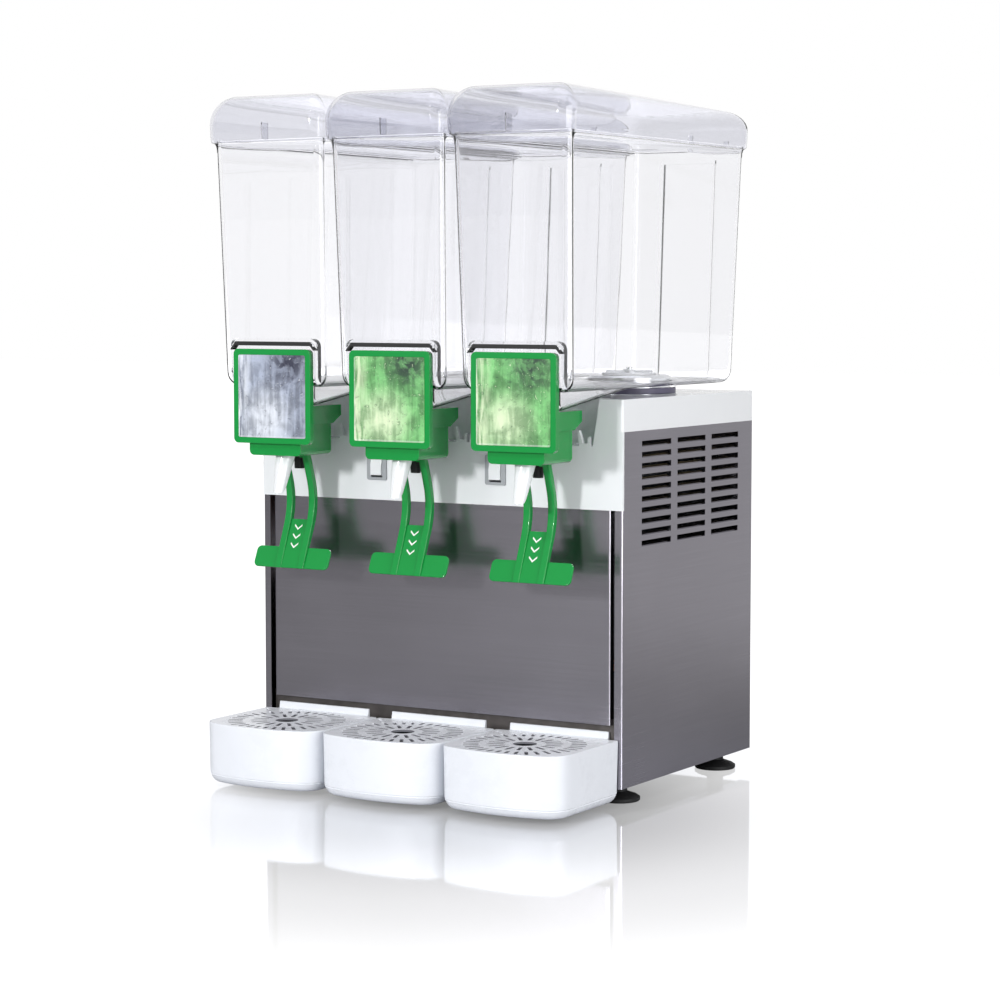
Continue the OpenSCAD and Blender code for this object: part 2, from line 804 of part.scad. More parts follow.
// Rib inside a lid that rests on the bowl's rim, seen from the side, measured inward from the skirt
module lid_rib(over) {
    root = lid_wall * 0.8;
    neck = root + lid_step;
    inner = over + bowl_wall + 0.5;
    rib_low = rim_z + 2.5;
    rib_top = lid_top - lid_round - lid_fall - 2;
    backward(rib_t) polygon([[inner, rim_z], [root, rim_z], [root, rib_low], [neck, rib_low],
                             [neck + lid_lean, rib_top], [max(inner, neck + lid_lean + 1), rib_top]]);
}

module lid(n) {
    low = rim_z - lid_drop;
    mid = (lid_rear - lid_front) / 2;
    roof = rim_z + 2;
    skirt_r = lid_corner_r + lid_step;
    rib_from_end = 50;
    at_bowl(n) color(clear) translate([0, mid, 0]) {
        difference() {
            union() {
                translate([0, 0, low]) linear_extrude(lid_skirt) rounded_rect(lid_w, lid_l, skirt_r);
                lid_form(0, roof);
            }
            translate([0, 0, low - cut]) linear_extrude(roof - low + cut)
                rounded_rect(lid_w - 2 * lid_wall, lid_l - 2 * lid_wall, skirt_r - lid_wall);
            lid_form(lid_wall, roof - slice);
        }
        for (side = [0, 180], y = [-1, 1]) rotate(side)
            translate([-lid_w / 2, y * (lid_l / 2 - rib_from_end) - rib_t / 2, 0]) lid_rib(lid_side_over);
        rotate(90) translate([-lid_l / 2, -rib_t / 2, 0]) lid_rib(lid_front_over);
        rotate(270) translate([-lid_l / 2, -rib_t / 2, 0]) lid_rib(lid_rear_over);
    }
}

// Taps

// Green housing: square frame, block with the valve chamber, open pocket for the lever
module tap_body(n) {
    frame_mid = frame_bottom + frame_h / 2;
    lower_w = block_w - 2 * lower_inset;
    lower_h = step_z - tap_bottom + 2 * lower_r;
    pocket_front = pivot_reach + hub_r + pocket_room;
    port_z = ante_z + ante_h / 2;
    bore_h = port_z + port_r + port_over - tap_bottom;
    at_bowl(n) color(green) difference() {
        union() {
            translate([0, -frame_reach, frame_mid]) backward(frame_t) rounded_rect(frame_w, frame_h, frame_r);
            across(block_w)
                polygon([[frame_t - frame_reach - cut, step_z], [-lower_rear, step_z],
                         [-block_rear, step_z + block_slope], [-block_rear, block_top],
                         [frame_t - frame_reach - cut, block_top]]);
            translate([0, -lower_front, tap_bottom + lower_h / 2])
                backward(lower_front - lower_rear) rounded_rect(lower_w, lower_h, lower_r);
        }
        translate([0, -frame_reach - cut, frame_mid]) backward(card_t + cut)
            rounded_rect(frame_w - 2 * frame_border, frame_h - 2 * frame_border, 2);
        translate([0, -valve_reach, seat_z]) cylinder(h = tap_h, r = chamber_r);
        translate([0, -valve_reach, ante_z]) cylinder(h = tap_h, r = ante_r);
        translate([0, -valve_reach, tap_bottom]) cylinder(h = tap_h, r = stem_r + run_fit);
        block([-pocket_w / 2, -pocket_front, tap_bottom - cut],
              [pocket_w / 2, -lower_rear + cut, pocket_top]);
        translate([0, -pivot_reach, pivot_z])
            bar(-arm_out - trunnion_l - slip, arm_out + trunnion_l + slip, trunnion_r + run_fit);
        translate([0, -spout_reach, tap_bottom - cut])
            cylinder(h = spigot_h + slip + cut, r = spigot_r + run_fit);
        translate([0, -spout_reach, tap_bottom]) cylinder(h = bore_h, r = spout_bore);
        translate([0, -spout_reach, port_z]) rotate([-90, 0, 0])
            cylinder(h = spout_reach - valve_reach, r = port_r);
    }
}

// Thin printed card that fills the frame
module tap_card(n) {
    room = 2 * (frame_border + run_fit);
    at_bowl(n) color([0.62, 0.80, 0.62])
        translate([0, -frame_reach, frame_bottom + frame_h / 2]) backward(card_t)
            rounded_rect(frame_w - room, frame_h - room, 2);
}

// Y of the lever's middle line at a height, both from the pivot, with a knee that bends softly
function lever_y(z) =
    let (upper = -knee_back / knee_drop,
         lower = (knee_back + lever_fore) / (lever_drop - knee_drop),
         off = z + knee_drop)
    off >= knee_soft ? upper * z
    : off <= -knee_soft ? knee_back + lower * off
    : knee_back + lower * off + (upper - lower) * pow(off + knee_soft, 2) / (4 * knee_soft);

// Strip along the lever's middle line through the given heights, between two offsets in Y
module upright_strip(heights, front, rear) {
    count = len(heights);
    polygon([for (z = heights) [lever_y(z) + front, z],
             for (i = [1:count]) [lever_y(heights[count - i]) + rear, heights[count - i]]]);
}

// Push lever in one moulding: trunnions, two kneed arms, a lifting fork, a plate and a wide paddle
module tap_lever(n) {
    half_d = arm_d / 2;
    foot = [-lever_fore, -lever_drop];
    bend = [for (i = [-4:4]) -knee_drop - i * knee_soft / 4];
    heights = concat([0], bend, [-lever_drop]);
    plate_heights = concat([-plate_drop], [for (z = bend) if (z < -plate_drop) z], [-lever_drop]);
    tilt = atan2(knee_back + lever_fore, lever_drop - knee_drop);
    at_bowl(n) color(green) translate([0, -pivot_reach, pivot_z]) {
        for (side = [0, 1]) mirror([side, 0, 0]) {
            translate([(arm_gap + arm_w) / 2, 0, 0]) across(arm_w) {
                circle(hub_r);
                upright_strip(heights, -half_d, half_d);
            }
            bar(arm_out - cut, arm_out + trunnion_l, trunnion_r);
            translate([(arm_gap - finger_w + finger_root) / 2, 0, 0]) across(finger_w + finger_root) {
                translate([finger_y, finger_z]) circle(finger_r);
                translate([0, finger_z - finger_r]) square([finger_y, 2 * finger_r]);
            }
        }
        across(2 * arm_out - arm_w) upright_strip(plate_heights, half_d - plate_t, half_d);
        translate([0, foot[0], foot[1]]) rotate([-tilt, 0, 0]) translate([0, half_d - paddle_t, paddle_h / 2])
            backward(paddle_t) rounded_rect(paddle_w, paddle_h, paddle_r);
    }
}

// Valve: disc on its seat, stem through the web, lifting collar and a black boot below the housing
module tap_valve(n) {
    at_bowl(n) color(black) translate([0, -valve_reach, 0]) {
        translate([0, 0, seat_z]) cylinder(h = valve_disc_h, r = valve_disc_r);
        translate([0, 0, collar_z]) cylinder(h = seat_z - collar_z + 1, r = stem_r);
        translate([0, 0, collar_z]) cylinder(h = collar_t, r = collar_r);
        translate([0, 0, collar_z - boot_h]) cylinder(h = boot_h + 1, r1 = boot_r - 0.8, r2 = boot_r);
    }
}

spring_low = seat_z + valve_disc_h;
spring_pitch = (outlet_z - spring_low - 2 * spring_wire_r) / spring_turns;

// Centre of the spring's wire at step i
function spring_centre(i) = let (turn = 360 * spring_turns * i / spring_steps)
    [spring_r * cos(turn), spring_r * sin(turn), spring_low + spring_wire_r + spring_pitch * turn / 360];

// Ring of points round the wire at step i
function spring_ring(i) = let (turn = 360 * spring_turns * i / spring_steps)
    [for (s = [0:spring_sides - 1]) let (a = 360 * s / spring_sides)
        spring_centre(i) + spring_wire_r * [cos(a) * cos(turn), cos(a) * sin(turn), sin(a)]];

// Coil spring between the valve disc and the bowl's outlet
module tap_spring(n) {
    k = spring_sides;
    points = [for (i = [0:spring_steps]) each spring_ring(i)];
    wall = [for (i = [0:spring_steps - 1], s = [0:k - 1]) let (a = i * k + s, b = i * k + (s + 1) % k)
        each [[a, a + k, b + k], [a, b + k, b]]];
    ends = [[for (s = [0:k - 1]) s], [for (s = [k - 1:-1:0]) spring_steps * k + s]];
    echo(str("Least gap of the tap spring to itself: ", spring_pitch - 2 * spring_wire_r));
    at_bowl(n) color(grey) translate([0, -valve_reach, 0]) polyhedron(points, concat(wall, ends));
}

// White spout: a spigot in the housing and a slanted, tapered nozzle, cut away behind its tip
module tap_spout(n) {
    at_bowl(n) color(white) translate([0, -spout_reach, tap_bottom]) difference() {
        union() {
            cylinder(h = spigot_h, r = spigot_r);
            difference() {
                spout_cone(spout_tip_r, spout_root_r, 0);
                translate([0, 0, spout_len / 2]) cube(spout_len, center = true);
            }
        }
        spout_cone(spout_tip_r - spout_wall, spout_bore, cut);
        rotate([-spout_tilt, 0, 0]) across(4 * spout_root_r)
            polygon([[spout_root_r, -spout_len * spout_full], [-spout_tip_r / 3, -spout_len - cut],
                     [2 * spout_root_r, -spout_len - cut]]);
        translate([0, 0, -2]) cylinder(h = spigot_h + 4, r = spout_bore - run_fit);
    }
}

// Slanted cone from just above the spout's root to its tip
module spout_cone(tip, root, beyond) {
    above = 4;
    rotate([-spout_tilt, 0, 0]) translate([0, 0, -spout_len - beyond])
        cylinder(h = spout_len + above + beyond, r1 = tip, r2 = root);
}

// Drip trays

// Plan of a tray drawn in by a margin: bowed front, round front corners, straight rear
function tray_plan(margin) =
    let (dx = tray_w / 2 - tray_corner_r,
         centre_y = tray_bow_r - tray_reach,
         dy = sqrt(pow(tray_bow_r - tray_corner_r, 2) - dx * dx),
         corner_y = centre_y - dy,
         sweep = atan2(dy, dx),
         r = tray_corner_r - margin,
         bow = tray_bow_r - margin,
         rear = -tray_rear - margin)
    concat([[tray_w / 2 - margin, rear]],
           [for (i = [0:6]) let (a = -sweep * i / 6) [dx + r * cos(a), corner_y + r * sin(a)]],
           [for (i = [1:9]) let (a = -sweep - (180 - 2 * sweep) * i / 10)
               [bow * cos(a), centre_y + bow * sin(a)]],
           [for (i = [0:6]) let (a = -180 + sweep - sweep * i / 6) [-dx + r * cos(a), corner_y + r * sin(a)]],
           [[-tray_w / 2 + margin, rear]]);

module tray_slice(margin, z) translate([0, 0, z]) linear_extrude(slice) polygon(tray_plan(margin));

module drip_tray(n) {
    ledge = tray_wall + 0.5;
    inside = tray_bottom + tray_wall;
    seat = tray_top - grid_t;
    at_bowl(n) color(white) {
        difference() {
            hull() {
                tray_slice(9, tray_bottom);
                tray_slice(4.5, tray_bottom + 2);
                tray_slice(1.8, tray_bottom + 6);
                tray_slice(0.8, tray_bottom + 12);
                tray_slice(0, tray_top - slice);
            }
            hull() {
                tray_slice(ledge + 8, inside);
                tray_slice(ledge + 1, inside + 8);
                tray_slice(ledge, seat);
            }
            translate([0, 0, seat]) linear_extrude(grid_t + cut) polygon(tray_plan(rim_wall));
            for (s = [-1, 1]) translate([s * tab_x, 0, 0])
                block([-tab_w / 2 - slip, -tab_reach - slip, tab_top - tab_t - slip],
                      [tab_w / 2 + slip, cut, tab_top]);
        }
        tray_lip();
    }
}

// Lip behind a tray that lies against the plinth
module tray_lip() {
    top = tray_top + lip_rise;
    bridge = 4;
    translate([-lip_w / 2, 0, 0]) rotate([90, 0, 90]) linear_extrude(lip_w)
        polygon([[-tray_rear - rim_wall / 2, tray_top - bridge], [plinth_back - lip_t, tray_top - bridge],
                 [plinth_back - lip_t, top - lip_depth], [plinth_back, top - lip_depth], [plinth_back, top],
                 [plinth_back - lip_t, top], [plinth_back - lip_t - 1, tray_top],
                 [-tray_rear - rim_wall / 2, tray_top]]);
}

// Whether a point of the plan lies inside a tray's outline by at least a margin
function in_tray(p, margin) =
    let (dx = tray_w / 2 - tray_corner_r,
         centre_y = tray_bow_r - tray_reach,
         corner_y = centre_y - sqrt(pow(tray_bow_r - tray_corner_r, 2) - dx * dx))
    abs(p[0]) < tray_w / 2 - margin && p[1] < -tray_rear - margin
    && norm([p[0], p[1] - centre_y]) < tray_bow_r - margin
    && (abs(p[0]) < dx || p[1] > corner_y
        || norm([abs(p[0]) - dx, p[1] - corner_y]) < tray_corner_r - margin);

// Largest radius along a ray from the grid's hub that keeps its rim, at most r
function ray_end(hub, a, r) =
    r <= 0 || in_tray(hub + r * [cos(a), sin(a)], rim_wall + grid_gap + grid_rim)
    ? r
    : ray_end(hub, a, r - 0.5);

// Drip grid: rings of slots that point to a round finger hole
module drip_grid(n) {
    hub = [0, -(tray_reach + tray_rear) / 2];
    hole_r = 11;
    first_r = 19;
    first_count = 18;
    more = 16;
    at_bowl(n) color(white) translate([0, 0, tray_top - grid_t]) linear_extrude(grid_t) difference() {
        polygon(tray_plan(rim_wall + grid_gap));
        translate(hub) {
            circle(hole_r);
            for (ring = [0:2], i = [0:first_count + more * ring - 1]) {
                a = (i + 0.5) * 360 / (first_count + more * ring);
                inner = first_r + ring * (slot_l + grid_web);
                outer = ray_end(hub, a, inner + slot_l);
                if (outer - inner > slot_l / 2)
                    rotate(a) translate([(inner + outer) / 2, 0]) slot(outer - inner, slot_w);
            }
        }
    }
}

// Condensing unit

module compressor() {
    plate_w = 126;
    plate_r = 12;
    pad_r = 9;
    pad_x = 50;
    in_cabinet() color(black) translate([comp_x, evap_y, pan_floor]) {
        for (x = [-pad_x, pad_x], y = [-pad_x, pad_x])
            translate([x, y, 0]) cylinder(h = comp_pad_h, r = pad_r);
        translate([0, 0, comp_pad_h]) linear_extrude(comp_foot_t) rounded_rect(plate_w, plate_w, plate_r);
        translate([0, 0, comp_pad_h + comp_foot_t]) rotate_extrude() polygon([
            [0, 0], [comp_r - 6, 0], [comp_r, 8], [comp_r, comp_h * 0.45], [comp_r + 3, comp_h * 0.47],
            [comp_r + 3, comp_h * 0.52], [comp_r, comp_h * 0.54], [comp_r - 2, comp_h * 0.75],
            [comp_r * 0.76, comp_h * 0.93], [comp_r * 0.41, comp_h], [0, comp_h]]);
    }
}

// Finned coil behind the right side louvres, on two end plates
module condenser() {
    pitch = coil_l / (fin_count - 1);
    row = coil_h / coil_tubes;
    first = coil_low + row / 2;
    in_cabinet() color([0.72, 0.73, 0.75]) translate([coil_x, fan_y - coil_l / 2, 0]) {
        for (i = [1:fin_count - 2])
            block([0, i * pitch, coil_low], [coil_t, i * pitch + fin_t, coil_low + coil_h]);
        for (y = [0, coil_l - fin_t])
            block([0, y, pan_floor], [coil_t, y + 2 * fin_t, coil_low + coil_h]);
        for (k = [0:coil_tubes - 1]) translate([coil_t / 2, -coil_end, first + k * row]) rotate([-90, 0, 0])
            cylinder(h = coil_l + fin_t + 2 * coil_end, r = coil_tube_r);
        for (k = [0:coil_tubes - 2]) {
            rear = k % 2 == 0;
            translate([coil_t / 2, rear ? coil_l + fin_t + coil_end : -coil_end, first + (k + 0.5) * row])
                rotate([rear ? 0 : 180, 0, 0]) rotate([0, -90, 0]) rotate_extrude(angle = 180)
                    translate([row / 2, 0]) circle(coil_tube_r);
        }
    }
}

// Square plate with a round opening, between the coil and the fan
module fan_shroud() {
    in_cabinet() color(black) translate([coil_x - shroud_t, fan_y, 0]) difference() {
        union() {
            block([shroud_t - 2, -coil_l / 2, pan_floor], [shroud_t, coil_l / 2, coil_low + coil_h]);
            translate([0, 0, fan_z]) bar(0, shroud_t, fan_r + 7);
        }
        translate([0, 0, fan_z]) bar(-cut, shroud_t + cut, fan_r + 4);
    }
}

// Fan motor on a bent bracket, with its shaft towards the coil
module fan_motor() {
    motor_gap = 26;
    motor_l = 64;
    face = coil_x - motor_gap;
    back = face - motor_l;
    case_r = 24;
    arm_set = 12;
    arm = back + arm_set;
    arm_t = 3;
    arm_half = 18;
    arm_foot = 30;
    in_cabinet() color(grey) translate([0, fan_y, 0]) {
        translate([0, 0, fan_z]) {
            bar(back, face, case_r);
            bar(face - 1, coil_x - 3, pin_r);
        }
        block([arm, -arm_half, pan_floor], [arm + arm_t, arm_half, fan_z - case_r + 4]);
        block([arm, -arm_half, pan_floor], [arm + arm_foot, arm_half, pan_floor + arm_t]);
    }
}

// Fan wheel: a hub and five pitched blades
module fan_blade() {
    wheel_t = 14;
    pitch = 28;
    low = coil_x - 20;
    in_cabinet() color([0.3, 0.3, 0.32]) translate([low, fan_y, fan_z]) difference() {
        union() {
            bar(0, wheel_t, fan_hub_r);
            for (i = [0:fan_blades - 1]) rotate([i * 360 / fan_blades, 0, 0])
                translate([wheel_t / 2, 0, fan_hub_r - 4]) rotate([0, 0, pitch]) translate([-0.8, 0, 0])
                    rotate([90, 0, 90]) linear_extrude(1.6)
                        polygon([[-9, 0], [9, 0], [14, fan_r - fan_hub_r], [-14, fan_r - fan_hub_r - 4]]);
        }
        bar(-cut, wheel_t + cut, pin_r + run_fit);
    }
}

drier_x = 10;
drier_back = 50;
drier_y = cabinet_d - drier_back;
drier_z = 120;

// Copper-ended filter drier, upright near the rear panel
module filter_drier() {
    cone_h = 12;
    in_cabinet() color(copper) translate([drier_x, drier_y, drier_z]) rotate_extrude()
        polygon([[0, 0], [pipe_r + 1, 0], [drier_r, cone_h], [drier_r, drier_h - cone_h],
                 [pipe_r + 1, drier_h], [0, drier_h]]);
}

// Discharge, liquid and suction lines between the units
module refrigerant_lines() {
    row = coil_h / coil_tubes;
    coil_inlet = coil_low + coil_h - row / 2;
    coil_outlet = coil_low + row / 2;
    coil_mid = coil_x + coil_t / 2;
    coil_face = fan_y - coil_l / 2 - coil_end;
    comp_top = pan_floor + comp_pad_h + comp_foot_t + comp_h;
    foam = steel_top + foam_gap;
    lane_gap = 6;
    lane_y = coil_face - lane_gap;
    low_over = 41;
    middle_under = 43.5;
    high_under = 23.5;
    low = pan_floor + low_over;
    middle = steel_top - middle_under;
    high = steel_top - high_under;
    out_x = comp_x - 10;
    back_x = comp_x + 10;
    in_cabinet() color(copper) {
        pipe([[out_x, evap_y, comp_top], [out_x, evap_y, high], [out_x, lane_y, high],
              [coil_mid, lane_y, high], [coil_mid, lane_y, coil_inlet],
              [coil_mid, coil_face, coil_inlet]], pipe_r);
        pipe([[coil_mid, coil_face, coil_outlet], [coil_mid, lane_y, coil_outlet],
              [drier_x, lane_y, coil_outlet], [drier_x, lane_y, low],
              [drier_x, drier_y, low], [drier_x, drier_y, drier_z]], pipe_r);
        pipe([[drier_x, drier_y, drier_z + drier_h], [drier_x, drier_y, foam]], pipe_r);
        pipe([[back_x, evap_y, comp_top], [back_x, evap_y, middle], [back_x, drier_y, middle],
              [back_x, drier_y, foam]], pipe_r);
    }
}

base_pan();
feet();
left_side_panel();
right_side_panel();
front_panel();
rear_panel();
top_cover();
deck_insulation();
bowl_seals();
pump_motors();
compressor();
condenser();
filter_drier();
refrigerant_lines();
fan_motor();
fan_shroud();
fan_blade();
switch_bodies();
rocker_left();
rocker_right();
for (n = [1:bowl_count]) {
    evaporator(n);
    drive_magnet(n);
    impeller(n);
    bowl(n);
    lid(n);
    tap_body(n);
    tap_card(n);
    tap_lever(n);
    tap_valve(n);
    tap_spring(n);
    tap_spout(n);
    drip_tray(n);
    drip_grid(n);
}
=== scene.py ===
"""Looks of a cold drink dispenser: three clear bowls with push-lever taps on a cooled cabinet."""

import logging
import math
from collections.abc import Mapping, Sequence
from dataclasses import dataclass
from enum import Enum

import bmesh
import bpy
from mathutils import Matrix, Vector


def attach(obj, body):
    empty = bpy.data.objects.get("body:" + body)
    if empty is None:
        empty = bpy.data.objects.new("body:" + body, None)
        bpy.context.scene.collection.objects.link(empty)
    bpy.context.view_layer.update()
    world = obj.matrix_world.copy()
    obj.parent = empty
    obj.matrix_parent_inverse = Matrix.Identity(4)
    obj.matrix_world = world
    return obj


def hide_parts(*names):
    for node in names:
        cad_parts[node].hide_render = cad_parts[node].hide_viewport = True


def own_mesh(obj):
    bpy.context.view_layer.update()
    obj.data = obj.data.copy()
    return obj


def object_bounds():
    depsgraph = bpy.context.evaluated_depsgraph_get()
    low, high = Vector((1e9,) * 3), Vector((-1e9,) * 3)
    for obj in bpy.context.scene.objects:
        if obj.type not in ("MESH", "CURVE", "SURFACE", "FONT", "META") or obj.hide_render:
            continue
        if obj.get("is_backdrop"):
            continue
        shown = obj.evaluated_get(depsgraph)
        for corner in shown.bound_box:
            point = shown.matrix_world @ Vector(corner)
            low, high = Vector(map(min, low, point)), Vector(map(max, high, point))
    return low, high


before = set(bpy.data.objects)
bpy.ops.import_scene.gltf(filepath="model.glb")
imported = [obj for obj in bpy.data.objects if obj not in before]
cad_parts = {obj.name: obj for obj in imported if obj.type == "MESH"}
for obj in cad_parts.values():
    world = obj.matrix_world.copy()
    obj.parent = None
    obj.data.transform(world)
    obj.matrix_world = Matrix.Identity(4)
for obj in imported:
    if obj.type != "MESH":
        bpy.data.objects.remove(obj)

log = logging.getLogger("dispenser")

MM = 0.001
CABINET_FRONT = -77.0
BOWL_PITCH = 132.0
BOWLS = (1, 2, 3)
MIDDLE_BOWL = 2
SMOOTH_ANGLE = 32.0
FLAT_ANGLE = 0.2
WELD = 2e-6
CAD_SHADING = ("custom_normal", "sharp_face", "sharp_edge")
PURE_WHITE = (1.0, 1.0, 1.0)

Colour = tuple[float, float, float]
Triple = tuple[float, float, float]
Ring = list[Vector]
Thing = bpy.types.Object


def screen(red: int, green: int, blue: int) -> Colour:
    """Linear colour of a screen colour given in steps of 0 to 255."""
    parts = [value / 255 for value in (red, green, blue)]
    return tuple(p / 12.92 if p <= 0.04045 else ((p + 0.055) / 1.055) ** 2.4 for p in parts)


def toned(colour: Colour, gain: float) -> Colour:
    """The colour made lighter or darker by a gain."""
    return tuple(min(1.0, part * gain) for part in colour)


def bowl_x(number: int) -> float:
    """X of the middle plane of one bowl, in millimetres."""
    return (number - MIDDLE_BOWL) * BOWL_PITCH


class Sock:
    """Shader socket that takes part in arithmetic with sockets and numbers."""

    def __init__(self, sheet: "Sheet", socket: bpy.types.NodeSocket) -> None:
        """Keeps the socket and the sheet it belongs to."""
        self.sheet = sheet
        self.socket = socket

    def _op(self, operation: str, *terms: "Sock | float") -> "Sock":
        """Math node on the terms."""
        return self.sheet.add("ShaderNodeMath", {"operation": operation}, dict(enumerate(terms)))

    def __add__(self, other: "Sock | float") -> "Sock":
        """Sum."""
        return self._op("ADD", self, other)

    def __radd__(self, other: float) -> "Sock":
        """Sum with a number on the left."""
        return self._op("ADD", other, self)

    def __sub__(self, other: "Sock | float") -> "Sock":
        """Difference."""
        return self._op("SUBTRACT", self, other)

    def __rsub__(self, other: float) -> "Sock":
        """Difference from a number."""
        return self._op("SUBTRACT", other, self)

    def __mul__(self, other: "Sock | float") -> "Sock":
        """Product."""
        return self._op("MULTIPLY", self, other)

    def __rmul__(self, other: float) -> "Sock":
        """Product with a number on the left."""
        return self._op("MULTIPLY", other, self)

    def __truediv__(self, other: "Sock | float") -> "Sock":
        """Quotient."""
        return self._op("DIVIDE", self, other)

    def __rtruediv__(self, other: float) -> "Sock":
        """Quotient of a number."""
        return self._op("DIVIDE", other, self)

    def __pow__(self, other: "Sock | float") -> "Sock":
        """Power."""
        return self._op("POWER", self, other)

    def most(self, other: "Sock | float") -> "Sock":
        """Larger of the two."""
        return self._op("MAXIMUM", self, other)

    def step(self, low: float, high: float) -> "Sock":
        """Smooth step from 0 at low to 1 at high.

        Args:
            low: Value where the step starts.
            high: Value where it ends.

        Returns:
            The stepped value.
        """
        return self.sheet.add(
            "ShaderNodeMapRange",
            {"interpolation_type": "SMOOTHSTEP", "clamp": True},
            {"Value": self, "From Min": low, "From Max": high},
            "Result",
        )


Value = Sock | float | Triple


class Sheet:
    """Node tree of one material or world under construction."""

    def __init__(self, tree: bpy.types.NodeTree) -> None:
        """Starts from an empty tree."""
        tree.nodes.clear()
        self.tree = tree

    def add(
        self,
        kind: str,
        settings: Mapping[str, object] | None = None,
        inputs: Mapping[int | str, Value] | None = None,
        out: int | str = 0,
    ) -> Sock | None:
        """Adds a node.

        Args:
            kind: Blender's name of the node type.
            settings: Properties that are set before the sockets.
            inputs: Socket values or links by socket name or index.
            out: Output that the result stands for.

        Returns:
            The chosen output, or None where the node has none.
        """
        node = self.tree.nodes.new(kind)
        for name, setting in (settings or {}).items():
            setattr(node, name, setting)
        for key, value in (inputs or {}).items():
            socket = node.inputs[key]
            if isinstance(value, Sock):
                self.tree.links.new(value.socket, socket)
            elif socket.type == "RGBA":
                socket.default_value = (*value, 1.0)
            else:
                socket.default_value = value
        return Sock(self, node.outputs[out]) if len(node.outputs) else None

    def coords(self) -> Sock:
        """Object coordinates, in metres."""
        return self.add("ShaderNodeTexCoord", out="Object")

    def ray(self, kind: str) -> Sock:
        """1 for rays of a kind, such as Camera, Glossy or Transmission, and 0 for others."""
        return self.add("ShaderNodeLightPath", out=f"Is {kind} Ray")

    def stretched(self, scale: Triple, shift: Triple = (0.0, 0.0, 0.0)) -> Sock:
        """Object coordinates scaled along each axis and shifted."""
        inputs = {"Vector": self.coords(), "Location": shift, "Scale": scale}
        return self.add("ShaderNodeMapping", {}, inputs, "Vector")

    def parts(self, vector: Sock) -> tuple[Sock, Sock, Sock]:
        """X, Y and Z of a vector."""
        split = self.add("ShaderNodeSeparateXYZ", {}, {0: vector}).socket.node
        return tuple(Sock(self, split.outputs[i]) for i in range(3))

    def noise(self, vector: Sock, scale: float, detail: float = 3.0, twist: float = 0.0) -> Sock:
        """Cloudy noise between 0 and 1."""
        inputs = {"Vector": vector, "Scale": scale, "Detail": detail, "Distortion": twist}
        return self.add("ShaderNodeTexNoise", {}, inputs)

    def cells(self, vector: Sock, scale: float, feature: str = "F1") -> Sock:
        """Distance within the cells of a Voronoi pattern."""
        return self.add("ShaderNodeTexVoronoi", {"feature": feature}, {"Vector": vector, "Scale": scale})

    def mix(self, factor: Value, first: Value, second: Value) -> Sock:
        """Colour between two colours."""
        return self.add("ShaderNodeMix", {"data_type": "RGBA"}, {0: factor, 6: first, 7: second}, 2)

    def bump(self, height: Sock, strength: float, distance: float) -> Sock:
        """Normal that follows a height."""
        inputs = {"Height": height, "Strength": strength, "Distance": distance}
        return self.add("ShaderNodeBump", {}, inputs)

    def surface(self, inputs: Mapping[str, Value]) -> Sock:
        """Principled shader with the given sockets."""
        return self.add("ShaderNodeBsdfPrincipled", {}, inputs)


@dataclass(frozen=True)
class Finish:
    """Surface finish that belongs to one slot of the record."""

    name: str
    slot: str

    def shade(self, sheet: Sheet) -> Sock:
        """Shader of the finish."""
        raise NotImplementedError

    def material(self) -> bpy.types.Material:
        """Material of the finish, made on first use.

        Returns:
            The material, shared by all pieces of the finish.
        """
        known = bpy.data.materials.get(self.name)
        if known:
            return known
        material = bpy.data.materials.new(self.name)
        material.use_nodes = True
        sheet = Sheet(material.node_tree)
        sheet.add("ShaderNodeOutputMaterial", {}, {"Surface": self.shade(sheet)})
        return material


@dataclass(frozen=True)
class Moulding(Finish):
    """Moulded plastic with a fine grain, faint clouds and a gloss that wanders a little."""

    CLOUD_SCALE = 24.0
    CLOUD_TONES = (0.97, 1.025)
    CLOUD_GLOSS = 0.12
    GRAIN_GLOSS = 0.06
    GRAIN_DEPTH = 0.2 * MM
    COAT_ROUGHNESS = 0.06

    colour: Colour
    roughness: float = 0.3
    grain: float = 0.05
    grain_size: float = 1800.0
    coat: float = 0.0
    specular: float = 0.5

    def tint(self, sheet: Sheet, base: Sock) -> Sock:
        """Base colour of the surface."""
        return base

    def shade(self, sheet: Sheet) -> Sock:
        """Shader of the finish.

        Args:
            sheet: Node tree that takes the nodes.

        Returns:
            The surface shader.
        """
        cloud = sheet.noise(sheet.coords(), self.CLOUD_SCALE, detail=4.0)
        fine = sheet.noise(sheet.coords(), self.grain_size, detail=2.0)
        dark, light = (toned(self.colour, gain) for gain in self.CLOUD_TONES)
        return sheet.surface({
            "Base Color": self.tint(sheet, sheet.mix(cloud, dark, light)),
            "Roughness": self.roughness + (cloud - 0.5) * self.CLOUD_GLOSS + (fine - 0.5) * self.GRAIN_GLOSS,
            "Normal": sheet.bump(fine, self.grain, self.GRAIN_DEPTH),
            "Specular IOR Level": self.specular,
            "Coat Weight": self.coat,
            "Coat Roughness": self.COAT_ROUGHNESS,
        })


class Grain(Enum):
    """How a metal surface was worked, with the stretch of its marks along X, Y and Z."""

    BRUSHED = (9.0, 9.0, 2400.0)
    SPANGLED = (90.0, 90.0, 90.0)
    DRAWN = (60.0, 60.0, 900.0)


